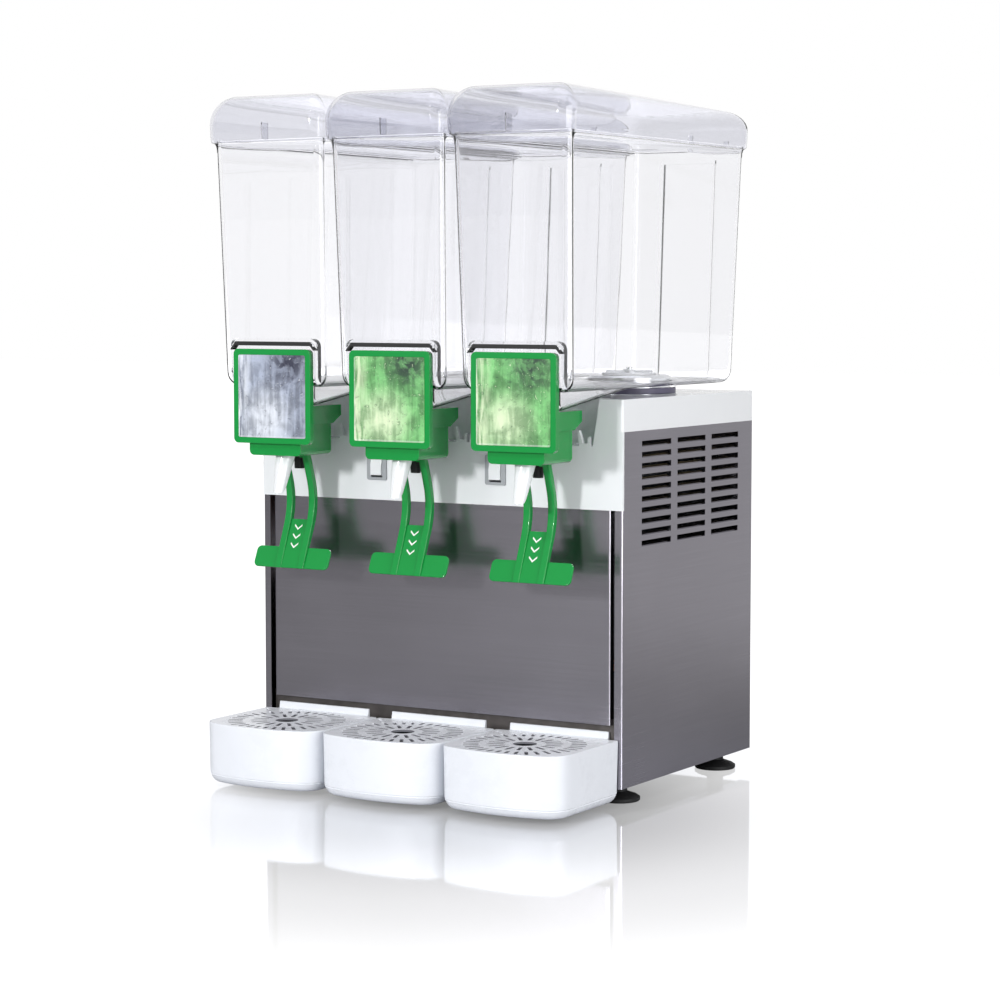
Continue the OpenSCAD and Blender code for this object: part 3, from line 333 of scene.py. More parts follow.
@dataclass(frozen=True)
class Metal(Finish):
    """Bare metal with brushing, zinc spangle or drawing marks, and a painted highlight on the upright bends
    of folded sheet.
    """

    TONES = (0.88, 1.12)
    TONE_STEP = (0.2, 0.8)
    MARK_SHARE = 0.6
    MARK_GLOSS = 0.1
    MARK_RELIEF = 0.06
    MARK_DEPTH = 0.1 * MM
    SMUDGE_SCALE = 7.0
    SMUDGE_GLOSS = 0.08
    # Facing of the bends that get the painted highlight.
    HIGHLIGHT_FACING = (0.9, 0.985)

    colour: Colour
    roughness: float
    grain: Grain = Grain.DRAWN
    # Gain of the painted bend highlight over the base colour; 1 paints none.
    bend_highlight_gain: float = 1.0

    def bend_highlight_mask(self, sheet: Sheet) -> Sock:
        """Mask of the painted highlight on the upright bends of a folded sheet, from the way that the surface
        faces.
        """
        x, y, _ = sheet.parts(sheet.add("ShaderNodeNewGeometry", out="Normal"))
        return ((x.most(0.0 - x) - y) * math.sqrt(0.5)).step(*self.HIGHLIGHT_FACING)

    def marks(self, sheet: Sheet) -> Sock:
        """Height of the working marks.

        Args:
            sheet: Node tree that takes the nodes.

        Returns:
            Height between 0 and 1.
        """
        place = sheet.stretched(self.grain.value)
        if self.grain is Grain.SPANGLED:
            return sheet.cells(place, 1.0)
        return sheet.noise(place, 1.0, detail=3.0 if self.grain is Grain.BRUSHED else 2.0)

    def shade(self, sheet: Sheet) -> Sock:
        """Shader of the finish.

        Args:
            sheet: Node tree that takes the nodes.

        Returns:
            The surface shader.
        """
        marks = self.marks(sheet)
        smudge = sheet.noise(sheet.coords(), self.SMUDGE_SCALE, detail=5.0, twist=0.4)
        tone = (marks * self.MARK_SHARE + smudge * (1.0 - self.MARK_SHARE)).step(*self.TONE_STEP)
        dark, light = (toned(self.colour, gain) for gain in self.TONES)
        colour = sheet.mix(tone, dark, light)
        # Painted highlight: bends that face to the front and side get a lighter base colour, as if they
        # caught a lamp.
        if self.bend_highlight_gain > 1.0:
            colour = sheet.mix(self.bend_highlight_mask(sheet), colour, toned(self.colour, self.bend_highlight_gain))
        rough = self.roughness + (marks - 0.5) * self.MARK_GLOSS
        return sheet.surface({
            "Base Color": colour,
            "Metallic": 1.0,
            "Roughness": rough + (smudge - 0.5) * self.SMUDGE_GLOSS,
            "Normal": sheet.bump(marks, self.MARK_RELIEF, self.MARK_DEPTH),
        })


@dataclass(frozen=True)
class ClearPlastic(Finish):
    """Clear moulded plastic with long upright flow marks and a trace of haze."""

    FLOW = (34.0, 34.0, 2.2)
    FLOW_RELIEF = 0.02
    FLOW_DEPTH = 2.0 * MM
    HAZE_SCALE = 70.0
    HAZE_STEP = (0.35, 0.8)
    HAZE_MOST = 0.03

    colour: Colour
    bend: float = 1.49

    def shade(self, sheet: Sheet) -> Sock:
        """Shader of the finish.

        Args:
            sheet: Node tree that takes the nodes.

        Returns:
            The surface shader.
        """
        flow = sheet.noise(sheet.stretched(self.FLOW), 1.0, detail=2.0)
        haze = sheet.noise(sheet.coords(), self.HAZE_SCALE)
        return sheet.surface({
            "Base Color": self.colour,
            "Roughness": haze.step(*self.HAZE_STEP) * self.HAZE_MOST,
            "IOR": self.bend,
            "Transmission Weight": 1.0,
            "Normal": sheet.bump(flow, self.FLOW_RELIEF, self.FLOW_DEPTH),
        })


@dataclass(frozen=True)
class ShadedBasin(Moulding):
    """Moulded plastic whose marked inner faces get a painted shade: a darker base colour where little light
    reaches.
    """

    SHADE_MARK = "inside"

    # Colour of the painted shade on the inner faces.
    inside: Colour = (0.05, 0.05, 0.055)

    @classmethod
    def mark_shade(cls, piece: Thing, inner: Sequence[bool]) -> Thing:
        """Marks the inner faces of a piece that get the painted shade.

        Args:
            piece: Finished mesh.
            inner: Whether each of its faces is an inner one.

        Returns:
            The same piece.
        """
        marks = piece.data.attributes.new(cls.SHADE_MARK, "FLOAT", "FACE")
        marks.data.foreach_set("value", [float(face) for face in inner])
        return piece

    def tint(self, sheet: Sheet, base: Sock) -> Sock:
        """Base colour with a painted shade on the inner faces."""
        mark_shade = sheet.add("ShaderNodeAttribute", {"attribute_name": self.SHADE_MARK}, out="Fac")
        return sheet.mix(mark_shade, base, self.inside)


@dataclass(frozen=True)
class FrostPrint(Finish):
    """Glossy printed card: an iced surface with droplets, darker towards its upper right corner."""

    LAYER_PER_MM = 0.1
    SWIRL_SCALE = 2.4
    SWIRL = (0.5, 0.5, 0.0)
    CLOUD_SCALE = 2.0
    PATCH_SCALE = 5.0
    STREAK = (7.0, 0.9)
    BEAD_SCALE = 9.0
    SPARK_SCALE = 22.0
    CLOUD_SHARE = 0.6
    TONE_STEP = (0.38, 0.62)
    MIDDLE_TONES = (0.55, 1.3)
    GLOW_PLACE = (-0.2, -0.5)
    GLOW_REACH = (0.85, 0.8)
    GLOW_FADE = (0.1, 1.25)
    GLOW_LEAST = 0.35
    GLOW_SHARE = 0.9
    GLOOM_PLACE = (0.5, 0.85)
    GLOOM_REACH = (1.0, 1.0)
    GLOOM_FADE = (0.1, 1.0)
    GLOOM_LEAST = 0.45
    GLOOM_PATCH = (0.4, 0.6)
    FROST_FADE = (0.5, 0.98)
    FROST_STREAK = (0.35, 0.6)
    FROST_SHARE = 0.85
    GROUP_STEP = (0.46, 0.58)
    RIM_IN = (0.16, 0.24)
    RIM_OUT = (0.24, 0.38)
    RIM_TONE = 1.2
    RIM_SHARE = 0.5
    CORE_FADE = (0.06, 0.18)
    SPARK_FADE = (0.08, 0.2)
    DROP_SHARE = 0.7
    EDGE = (0.965, 0.975)
    EDGE_SHARE = 0.25
    EDGE_COLOUR = screen(244, 246, 246)
    ROUGHNESS = 0.18
    BEAD_GLOSS = 0.12
    BEAD_RELIEF = 0.04
    BEAD_DEPTH = 0.2 * MM
    COAT = 0.6
    COAT_ROUGHNESS = 0.05

    pale: Colour
    middle: Colour
    deep: Colour
    centre_x: float
    centre_z: float = 372.0
    half: float = 38.5

    @staticmethod
    def away(across: Sock, up: Sock, place: tuple[float, float], reach: tuple[float, float]) -> Sock:
        """Distance from a place on the card, in units of a reach along each side."""
        return (((across - place[0]) / reach[0]) ** 2.0 + ((up - place[1]) / reach[1]) ** 2.0) ** 0.5

    def shade(self, sheet: Sheet) -> Sock:
        """Shader of the finish.

        Args:
            sheet: Node tree that takes the nodes.

        Returns:
            The surface shader.
        """
        scale = 1.0 / (self.half * MM)
        shift = (-self.centre_x / self.half, 0.0, -self.centre_z / self.half)
        across, _, up = sheet.parts(sheet.stretched((scale, scale, scale), shift))
        layer = self.centre_x * self.LAYER_PER_MM
        flat = sheet.add("ShaderNodeCombineXYZ", {}, {0: across, 1: up, 2: layer})
        wander = {"Vector": flat, "Scale": self.SWIRL_SCALE, "Detail": 4.0}
        swirl = sheet.add("ShaderNodeTexNoise", {}, wander, "Color")
        added = {0: swirl, 1: self.SWIRL, 2: flat}
        bent = sheet.add("ShaderNodeVectorMath", {"operation": "MULTIPLY_ADD"}, added)
        drawn = {0: across * self.STREAK[0], 1: up * self.STREAK[1], 2: layer}
        run = sheet.add("ShaderNodeCombineXYZ", {}, drawn)
        cloud = sheet.noise(bent, self.CLOUD_SCALE, detail=8.0)
        patch = sheet.noise(bent, self.PATCH_SCALE, detail=4.0)
        streak = sheet.noise(run, 1.0, detail=5.0, twist=0.6)
        beads = sheet.cells(bent, self.BEAD_SCALE)
        small = sheet.cells(bent, self.SPARK_SCALE)
        low = self.away(across, up, self.GLOW_PLACE, self.GLOW_REACH)
        corner = self.away(across, up, self.GLOOM_PLACE, self.GLOOM_REACH)
        tone = (cloud * self.CLOUD_SHARE + streak * (1.0 - self.CLOUD_SHARE)).step(*self.TONE_STEP)
        veil = self.GLOW_LEAST + tone * (1.0 - self.GLOW_LEAST)
        glow = (1.0 - low.step(*self.GLOW_FADE)) * veil
        dapple = self.GLOOM_LEAST + patch.step(*self.GLOOM_PATCH) * (1.0 - self.GLOOM_LEAST)
        gloom = (1.0 - corner.step(*self.GLOOM_FADE)) * dapple
        frost = (0.0 - across).step(*self.FROST_FADE) * streak.step(*self.FROST_STREAK)
        grouped = patch.step(*self.GROUP_STEP)
        rim = beads.step(*self.RIM_IN) * (1.0 - beads.step(*self.RIM_OUT)) * grouped
        core = (1.0 - beads.step(*self.CORE_FADE)) * grouped
        spark = (1.0 - small.step(*self.SPARK_FADE)) * (1.0 - grouped)
        border = (0.0 - across).step(*self.EDGE).most((0.0 - up).step(*self.EDGE))
        dark, light = (toned(self.middle, gain) for gain in self.MIDDLE_TONES)
        colour = sheet.mix(tone, dark, light)
        for share, layer_colour in (
            (gloom, self.deep),
            (glow * self.GLOW_SHARE, self.pale),
            (frost * self.FROST_SHARE, self.pale),
            (rim * self.RIM_SHARE, toned(self.deep, self.RIM_TONE)),
            (core.most(spark) * self.DROP_SHARE, self.pale),
            (border * self.EDGE_SHARE, self.EDGE_COLOUR),
        ):
            colour = sheet.mix(share, colour, layer_colour)
        return sheet.surface({
            "Base Color": colour,
            "Roughness": self.ROUGHNESS + beads * self.BEAD_GLOSS,
            "Normal": sheet.bump(beads, self.BEAD_RELIEF, self.BEAD_DEPTH),
            "Coat Weight": self.COAT,
            "Coat Roughness": self.COAT_ROUGHNESS,
        })


# Steel with a painted highlight on its bends.
STEEL = Metal(
    "satin_steel", "steel", screen(163, 160, 168), roughness=0.24, grain=Grain.BRUSHED, bend_highlight_gain=1.9
)
ZINC = Metal("zinc_sheet", "zinc", screen(98, 94, 92), roughness=0.42, grain=Grain.SPANGLED)
STAINLESS = Metal("drawn_stainless", "stainless", screen(205, 207, 210), roughness=0.2)
WIRE = Metal("spring_wire", "spring", screen(185, 185, 185), roughness=0.3)
COPPER = Metal("copper_tube", "copper", screen(196, 118, 80), roughness=0.32)
WHITE = Moulding("white_moulding", "white", screen(240, 242, 245), roughness=0.16, grain=0.02, coat=0.4)
# Tray and grid darken their inner faces with painted shade.
TRAY_WHITE = ShadedBasin("tray_white", "white", screen(231, 234, 240), roughness=0.28, grain=0.03)
# The grid's white is a little darker than the tray's, painted shade on its top; its slot walls get a darker
# painted shade.
GRID_SHADED_WHITE = ShadedBasin(
    "grid_white", "white", screen(226, 228, 235), roughness=0.28, grain=0.03, inside=screen(120, 121, 128)
)
MARK_WHITE = Moulding("white_print", "white", screen(236, 242, 236), roughness=0.4)
GREEN = Moulding(
    "green_moulding", "green", screen(20, 144, 64), roughness=0.22, grain=0.02, coat=0.5, specular=0.3
)
RUBBER = Moulding("black_rubber", "rubber", screen(24, 24, 25), roughness=0.6, grain=0.12)
SILICONE = Moulding("pale_silicone", "silicone", screen(96, 93, 114), roughness=0.45, grain=0.06)
GREY = Moulding("grey_moulding", "grey", screen(165, 168, 173), roughness=0.35)
BLACK = Moulding("black_moulding", "black", screen(30, 30, 31), roughness=0.4)
SHELL = Moulding(
    "black_enamel", "shell", screen(26, 26, 28), roughness=0.25, grain=0.1, grain_size=500.0, coat=0.3
)
FOAM = Moulding("deck_foam", "foam", screen(226, 208, 150), roughness=0.85, grain=0.6, grain_size=700.0)
CLEAR = ClearPlastic("clear_plastic", "clear", (0.984, 0.985, 0.998))
# The lids' plastic is tinted darker and bluer than the bowls': painted shade that makes the lids read darker.
LID_SHADED_CLEAR = ClearPlastic("lid_plastic", "clear", (0.855, 0.858, 0.895))
ICE_PRINT = FrostPrint(
    "silver_card", "card", screen(240, 244, 250), screen(160, 168, 186), screen(62, 64, 80), bowl_x(1)
)
LIME_PRINTS = tuple(
    FrostPrint(
        f"lime_card_{n}", "card", screen(232, 242, 208), screen(118, 184, 116), screen(54, 74, 62), bowl_x(n)
    )
    for n in BOWLS[1:]
)
PRINTS = (ICE_PRINT, *LIME_PRINTS)


def smooth(piece: Thing, angle: float = SMOOTH_ANGLE) -> Thing:
    """Shades a piece smoothly, with sharp edges above an angle in degrees.

    Args:
        piece: Piece to shade.
        angle: Angle above which an edge stays sharp.

    Returns:
        The same piece.
    """
    piece.data.shade_smooth()
    piece.data.set_sharp_from_angle(angle=math.radians(angle))
    return piece


def linked(name: str, mesh: bpy.types.Mesh) -> Thing:
    """Object of a mesh in the scene.

    Args:
        name: Name of the object.
        mesh: Its mesh.

    Returns:
        The new object.
    """
    piece = bpy.data.objects.new(name, mesh)
    bpy.context.scene.collection.objects.link(piece)
    return piece


def mesh_of(form: bmesh.types.BMesh, name: str) -> bpy.types.Mesh:
    """Mesh of a form, which is used up.

    Args:
        form: Finished form.
        name: Name of the mesh.

    Returns:
        The new mesh.
    """
    mesh = bpy.data.meshes.new(name)
    form.to_mesh(mesh)
    form.free()
    return mesh


def bake(piece: Thing) -> Thing:
    """Turns a piece with modifiers into a plain mesh.

    Args:
        piece: Piece whose modifiers are applied.

    Returns:
        The same piece.
    """
    bpy.context.view_layer.update()
    graph = bpy.context.evaluated_depsgraph_get()
    mesh = bpy.data.meshes.new_from_object(piece.evaluated_get(graph))
    raw = piece.data
    piece.modifiers.clear()
    piece.data = mesh
    mesh.name = piece.name
    bpy.data.meshes.remove(raw)
    return piece


def discard(*pieces: Thing) -> None:
    """Removes helper pieces with their meshes.

    Args:
        pieces: Pieces that are no longer needed.
    """
    for piece in pieces:
        mesh = piece.data
        bpy.data.objects.remove(piece)
        bpy.data.meshes.remove(mesh)


class Join(Enum):
    """How two solids are brought together."""

    FUSE = "UNION"
    CUT = "DIFFERENCE"


def joined(base: Thing, how: Join, *tools: Thing) -> Thing:
    """Fuses tools to a base or cuts them from it; the tools are used up.

    Args:
        base: Piece that is changed.
        how: Fuse or cut.
        tools: Pieces that are used up.

    Returns:
        The base.
    """
    for tool in tools:
        step = base.modifiers.new(how.name, "BOOLEAN")
        step.operation = how.value
        step.solver = "EXACT"
        step.object = tool
    bake(base)
    discard(*tools)
    return base


def bevelled(piece: Thing, width: float, segments: int = 2, angle: float = 35.0) -> Thing:
    """Rounds the edges of a piece that are sharper than an angle.

    Args:
        piece: Piece to round.
        width: Width of the rounding in millimetres.
        segments: Steps across it.
        angle: Least angle of a rounded edge in degrees.

    Returns:
        The same piece.
    """
    edge = piece.modifiers.new("edges", "BEVEL")
    edge.width = width * MM
    edge.segments = segments
    edge.limit_method = "ANGLE"
    edge.angle_limit = math.radians(angle)
    return bake(piece)


def levelled(piece: Thing) -> Thing:
    """Lets the large faces set the shading across smooth edges, so that flats look flat."""
    piece.modifiers.new("levels", "WEIGHTED_NORMAL").keep_sharp = True
    return bake(piece)


def cad_copy(node: str, name: str, edge: float = 0.0, segments: int = 2) -> Thing:
    """Merged copy of a CAD node with rounded edges.

    Args:
        node: Name of the CAD node.
        name: Name of the new piece.
        edge: Width of the rounded edges in millimetres, or 0 for none.
        segments: Steps across a rounded edge.

    Returns:
        The new piece, not yet dressed.
    """
    form = bmesh.new()
    form.from_mesh(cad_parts[node].data)
    bmesh.ops.remove_doubles(form, verts=form.verts, dist=WELD)
    flat = math.radians(FLAT_ANGLE)
    bmesh.ops.dissolve_limit(form, angle_limit=flat, verts=form.verts, edges=form.edges)
    mesh = mesh_of(form, name)
    for extra in [a.name for a in mesh.attributes if a.name in CAD_SHADING]:
        mesh.attributes.remove(mesh.attributes[extra])
    piece = linked(name, mesh)
    if edge:
        bevelled(piece, edge, segments)
    return levelled(smooth(piece))


def dress(piece: Thing, body: str, finish: Finish, *nodes: str) -> Thing:
    """Gives a piece its finish and its body.

    Args:
        piece: Finished mesh in place.
        body: CAD body that it moves with.
        finish: Its surface.
        nodes: CAD nodes that it stands for.

    Returns:
        The same piece.
    """
    piece.data.materials.clear()
    piece.data.materials.append(finish.material())
    piece.data.polygons.foreach_set("material_index", [0] * len(piece.data.polygons))
    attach(piece, body)
    if nodes:
        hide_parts(*nodes)
        for node in nodes:
            paint(node, finish)
    log.info("%s: %d faces on %s", piece.name, len(piece.data.polygons), body)
    return piece


def paint(node: str, finish: Finish) -> None:
    """Gives a CAD node its finish.

    Args:
        node: Name of the CAD node.
        finish: Its surface.
    """
    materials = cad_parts[node].data.materials
    materials.clear()
    materials.append(finish.material())


def shifted(piece: Thing, name: str, x: float) -> Thing:
    """Copy of a piece moved along X by millimetres.

    Args:
        piece: Piece to copy.
        name: Name of the copy.
        x: Move in millimetres.

    Returns:
        The copy.
    """
    mesh = piece.data.copy()
    mesh.transform(Matrix.Translation((x * MM, 0.0, 0.0)))
    return linked(name, mesh)


def quarter(steps: int) -> list[float]:
    """Angles of a quarter turn in equal steps."""
    return [math.pi / 2 * i / steps for i in range(steps + 1)]


def rounded_loop(half_w: float, front: float, rear: float, r: float, z: float, steps: int = 8) -> Ring:
    """Level loop of a rectangle with round corners.

    Args:
        half_w: Half of its width along X.
        front: Lowest Y.
        rear: Highest Y.
        r: Corner radius.
        z: Height.
        steps: Steps round each corner.

    Returns:
        Points counter-clockwise from above.
    """
    x = half_w - r
    corners = ((x, rear - r, 0), (-x, rear - r, 90), (-x, front + r, 180), (x, front + r, 270))
    points = []
    for cx, cy, start in corners:
        for i in range(steps + 1):
            turn = math.radians(start + 90 * i / steps)
            points.append(Vector((cx + r * math.cos(turn), cy + r * math.sin(turn), z)))
    return points


def circle_loop(centre: Triple, r: float, steps: int = 64) -> Ring:
    """Level circle about a centre."""
    turns = [2 * math.pi * i / steps for i in range(steps)]
    return [Vector(centre) + Vector((r * math.cos(t), r * math.sin(t), 0.0)) for t in turns]


class Form:
    """Closed surfaces under construction, in millimetres of the cabinet's frame."""

    WELD = 0.005

    def __init__(self) -> None:
        """Starts empty."""
        self.bm = bmesh.new()

    def loft(self, rings: Sequence[Ring]) -> "Form":
        """Adds a body skinned through rings of equal counts and closed at both ends.

        Args:
            rings: Loops of points, from one end to the other.

        Returns:
            The form itself.
        """
        loops = [[self.bm.verts.new(point) for point in ring] for ring in rings]
        count = len(loops[0])
        for lower, upper in zip(loops, loops[1:]):
            for i in range(count):
                j = (i + 1) % count
                self.bm.faces.new((lower[i], lower[j], upper[j], upper[i]))
        self.bm.faces.new(loops[0][::-1])
        self.bm.faces.new(loops[-1])
        return self

    def slab(self, outline: Sequence[tuple[float, float]], x1: float, x2: float) -> "Form":
        """Adds an outline in Y and Z with a width along X."""
        return self.loft([[Vector((x, y, z)) for y, z in outline] for x in (x1, x2)])

    def post(self, centre: Triple, r: float, top: float) -> "Form":
        """Adds an upright round post on the centre of its foot."""
        x, y, low = centre
        return self.loft([circle_loop((x, y, z), r) for z in (low, top)])

    def turned(self, change: Matrix, since: int) -> "Form":
        """Moves the points added since a count.

        Args:
            change: Move in millimetres.
            since: Count of points that stay.

        Returns:
            The form itself.
        """
        self.bm.verts.ensure_lookup_table()
        bmesh.ops.transform(self.bm, matrix=change, verts=self.bm.verts[since:])
        return self

    def count(self) -> int:
        """Number of points so far."""
        return len(self.bm.verts)

    def piece(self, name: str, angle: float = SMOOTH_ANGLE, front: float = CABINET_FRONT) -> Thing:
        """Object of the finished form in the scene's metres.

        Args:
            name: Name of the object.
            angle: Angle above which an edge stays sharp.
            front: Y of the form's zero in the scene, in millimetres.

        Returns:
            The new object.
        """
        bmesh.ops.remove_doubles(self.bm, verts=self.bm.verts, dist=self.WELD)
        bmesh.ops.recalc_face_normals(self.bm, faces=self.bm.faces)
        self.bm.transform(Matrix.Scale(MM, 4) @ Matrix.Translation((0.0, front, 0.0)))
        return smooth(linked(name, mesh_of(self.bm, name)), angle)


class Spread:
    """Geometry Nodes set-up that seats one small piece on each point of a mesh, turned about Y."""

    NAME = "spread_pieces"

    def __init__(self) -> None:
        """Builds the node tree with its named inputs."""
        tree = bpy.data.node_groups.new(self.NAME, "GeometryNodeTree")
        face = tree.interface
        face.new_socket("Geometry", in_out="OUTPUT", socket_type="NodeSocketGeometry")
        sockets = (
            ("Points", "NodeSocketGeometry"),
            ("Piece", "NodeSocketObject"),
            ("Turn Seed", "NodeSocketInt"),
            ("Most Turn", "NodeSocketFloat"),
            ("Finish", "NodeSocketMaterial"),
        )
        self.keys = {
            name: face.new_socket(name, in_out="INPUT", socket_type=kind).identifier for name, kind in sockets
        }
        add, link = tree.nodes.new, tree.links.new
        given, done = add("NodeGroupInput"), add("NodeGroupOutput")
        info = add("GeometryNodeObjectInfo")
        turn = add("FunctionNodeRandomValue")
        turn.data_type = "FLOAT"
        about_y = add("ShaderNodeCombineXYZ")
        seat = add("GeometryNodeInstanceOnPoints")
        real = add("GeometryNodeRealizeInstances")
        coat = add("GeometryNodeSetMaterial")
        link(given.outputs["Piece"], info.inputs["Object"])
        link(given.outputs["Most Turn"], turn.inputs[3])
        link(given.outputs["Turn Seed"], turn.inputs["Seed"])
        link(turn.outputs[1], about_y.inputs["Y"])
        link(given.outputs["Points"], seat.inputs["Points"])
        link(info.outputs["Geometry"], seat.inputs["Instance"])
        link(about_y.outputs[0], seat.inputs["Rotation"])
        link(seat.outputs["Instances"], real.inputs["Geometry"])
        link(real.outputs["Geometry"], coat.inputs["Geometry"])
        link(given.outputs["Finish"], coat.inputs["Material"])
        link(coat.outputs["Geometry"], done.inputs["Geometry"])
        self.tree = tree

    def pieces(self, name: str, points: Sequence[Triple], piece: Thing, finish: Finish, seed: int) -> Thing:
        """Seats copies of a piece.

        Args:
            name: Name of the result.
            points: Seats in millimetres of the cabinet's frame.
            piece: Small piece about the scene's origin; it is used up.
            finish: Its surface.
            seed: Seed of the turns.

        Returns:
            One plain mesh with all the copies.
        """
        mesh = bpy.data.meshes.new(name)
        mesh.from_pydata([Vector((x, y + CABINET_FRONT, z)) * MM for x, y, z in points], [], [])
        host = linked(name, mesh)
        step = host.modifiers.new(self.NAME, "NODES")
        step.node_group = self.tree
        step[self.keys["Piece"]] = piece
        step[self.keys["Turn Seed"]] = seed
        step[self.keys["Most Turn"]] = 2 * math.pi
        step[self.keys["Finish"]] = finish.material()
        bake(host)
        discard(piece)
        return smooth(host)


@dataclass
class Cabinet:
    """Steel cabinet: side, front and rear panels, base pan, feet and rear screws."""

    SCREW_PROFILE = ((1.0, 0.0), (1.0, 0.45), (0.86, 0.78), (0.5, 0.97))
    SCREW_STEPS = 28
    SCREW_SEED = 7
    SCREW_ROWS = 4

    depth: float = 270.0
    sheet_t: float = 1.0
    screw_r: float = 3.4
    screw_h: float = 1.9
    screw_side: float = 190.0
    screw_low: float = 40.0
    screw_high: float = 332.0
    screw_pitch: float = 95.0
    recess_l: float = 2.6
    recess_w: float = 0.7
    recess_d: float = 1.0

    def screw(self) -> Thing:
        """Pan-head screw with a cross recess, about the origin and facing the rear.

        Returns:
            The screw, not yet dressed.
        """
        rings = [
            circle_loop((0.0, 0.0, h * self.screw_h), r * self.screw_r, self.SCREW_STEPS)
            for r, h in self.SCREW_PROFILE
        ]
        head = Form().loft(rings).turned(Matrix.Rotation(-math.pi / 2, 4, "X"), 0).piece("screw", front=0.0)
        low, high = self.screw_h - self.recess_d, self.screw_h + self.recess_d
        cross = (self.recess_l / 2, self.recess_w / 2)
        arms = []
        for w, d in (cross, cross[::-1]):
            arm = Form().slab(((low, -d), (high, -d), (high, d), (low, d)), -w, w)
            arms.append(arm.piece("recess", front=0.0))
        return joined(head, Join.CUT, *arms)

    def build(self, spread: Spread) -> None:
        """Builds and dresses the cabinet.

        Args:
            spread: Set-up that seats the screws.
        """
        for side in ("left", "right"):
            dress(cad_copy(f"{side}_side_panel", f"{side}_side_skin"), "cabinet", STEEL, f"{side}_side_panel")
        for node, name, finish in (
            ("front_panel", "front_skin", STEEL),
            ("rear_panel", "rear_skin", STEEL),
            ("base_pan", "base_skin", ZINC),
            ("feet", "foot_rubbers", RUBBER),
        ):
            dress(cad_copy(node, name), "cabinet", finish, node)
        rear = self.depth - self.sheet_t
        step = (self.screw_high - self.screw_low) / (self.SCREW_ROWS - 1)
        rows = [self.screw_low + step * i for i in range(self.SCREW_ROWS)]
        seats = [(side * self.screw_side, rear, z) for side in (-1, 1) for z in rows]
        seats += [(side * self.screw_pitch, rear, self.screw_high) for side in (-1, 0, 1)]
        screws = spread.pieces("rear_screws", seats, self.screw(), STAINLESS, self.SCREW_SEED)
        dress(screws, "cabinet", STAINLESS)


@dataclass
class Deck:
    """White deck moulding with its switches, marks, seals and the foam below."""

    MARKS = ((4.0, 11.0, 0.55), (-1.5, 0.6, 0.9))

    switch_z: float = 305.0
    mark_x: float = 26.0
    mark_t: float = 0.2
    cover_edge: float = 0.9
    cover_steps: int = 3
    bezel_edge: float = 0.4
    key_edge: float = 0.5
    seal_edge: float = 0.6

    def marks(self) -> Thing:
        """Short stroke and dot printed beside each switch.

        Returns:
            One piece with all the marks.
        """
        form = Form()
        for side in (-1, 1):
            x = side * BOWL_PITCH / 2 + self.mark_x
            for low, high, half in self.MARKS:
                z1, z2 = self.switch_z + low, self.switch_z + high
                ends = ((-1, z1), (1, z1), (1, z2), (-1, z2))
                outline = [Vector((x + sx * half, 0.0, z)) for sx, z in ends]
                form.loft([[p + Vector((0.0, -d, 0.0)) for p in outline] for d in (0.0, self.mark_t)])
        return form.piece("switch_marks")

    def build(self) -> None:
        """Builds and dresses the deck."""
        cover = cad_copy("top_cover", "deck_moulding", self.cover_edge, self.cover_steps)
        dress(cover, "cabinet", WHITE, "top_cover")
        bezels = cad_copy("switch_bodies", "switch_bezels", self.bezel_edge)
        dress(bezels, "cabinet", GREY, "switch_bodies")
        for side in ("left", "right"):
            rocker = f"rocker_{side}"
            dress(cad_copy(rocker, f"{rocker}_key", self.key_edge), rocker, WHITE, rocker)
        dress(self.marks(), "cabinet", BLACK)
        dress(cad_copy("bowl_seals", "seal_rings", self.seal_edge), "cabinet", SILICONE, "bowl_seals")
        paint("deck_insulation", FOAM)


@dataclass
class CoolingUnit:
    """Condensing unit in the cabinet, with evaporators, stirrers and their drives on the deck."""

    cup_edge: float = 0.5
    wheel_edge: float = 0.3

    def build(self) -> None:
        """Dresses the nodes of the cooling unit."""
        for node, finish in (
            ("pump_motors", GREY),
            ("compressor", SHELL),
            ("condenser", STAINLESS),
            ("filter_drier", COPPER),
            ("refrigerant_lines", COPPER),
            ("fan_motor", GREY),
            ("fan_shroud", BLACK),
            ("fan_blade", BLACK),
        ):
            paint(node, finish)
        for n in BOWLS:
            paint(f"drive_magnet_{n}", BLACK)
            cup, wheel = f"evaporator_{n}", f"impeller_{n}"
            dress(cad_copy(cup, f"{cup}_cup", self.cup_edge), "cabinet", STAINLESS, cup)
            dress(cad_copy(wheel, f"{wheel}_wheel", self.wheel_edge), f"stirrer_{n}", WHITE, wheel)


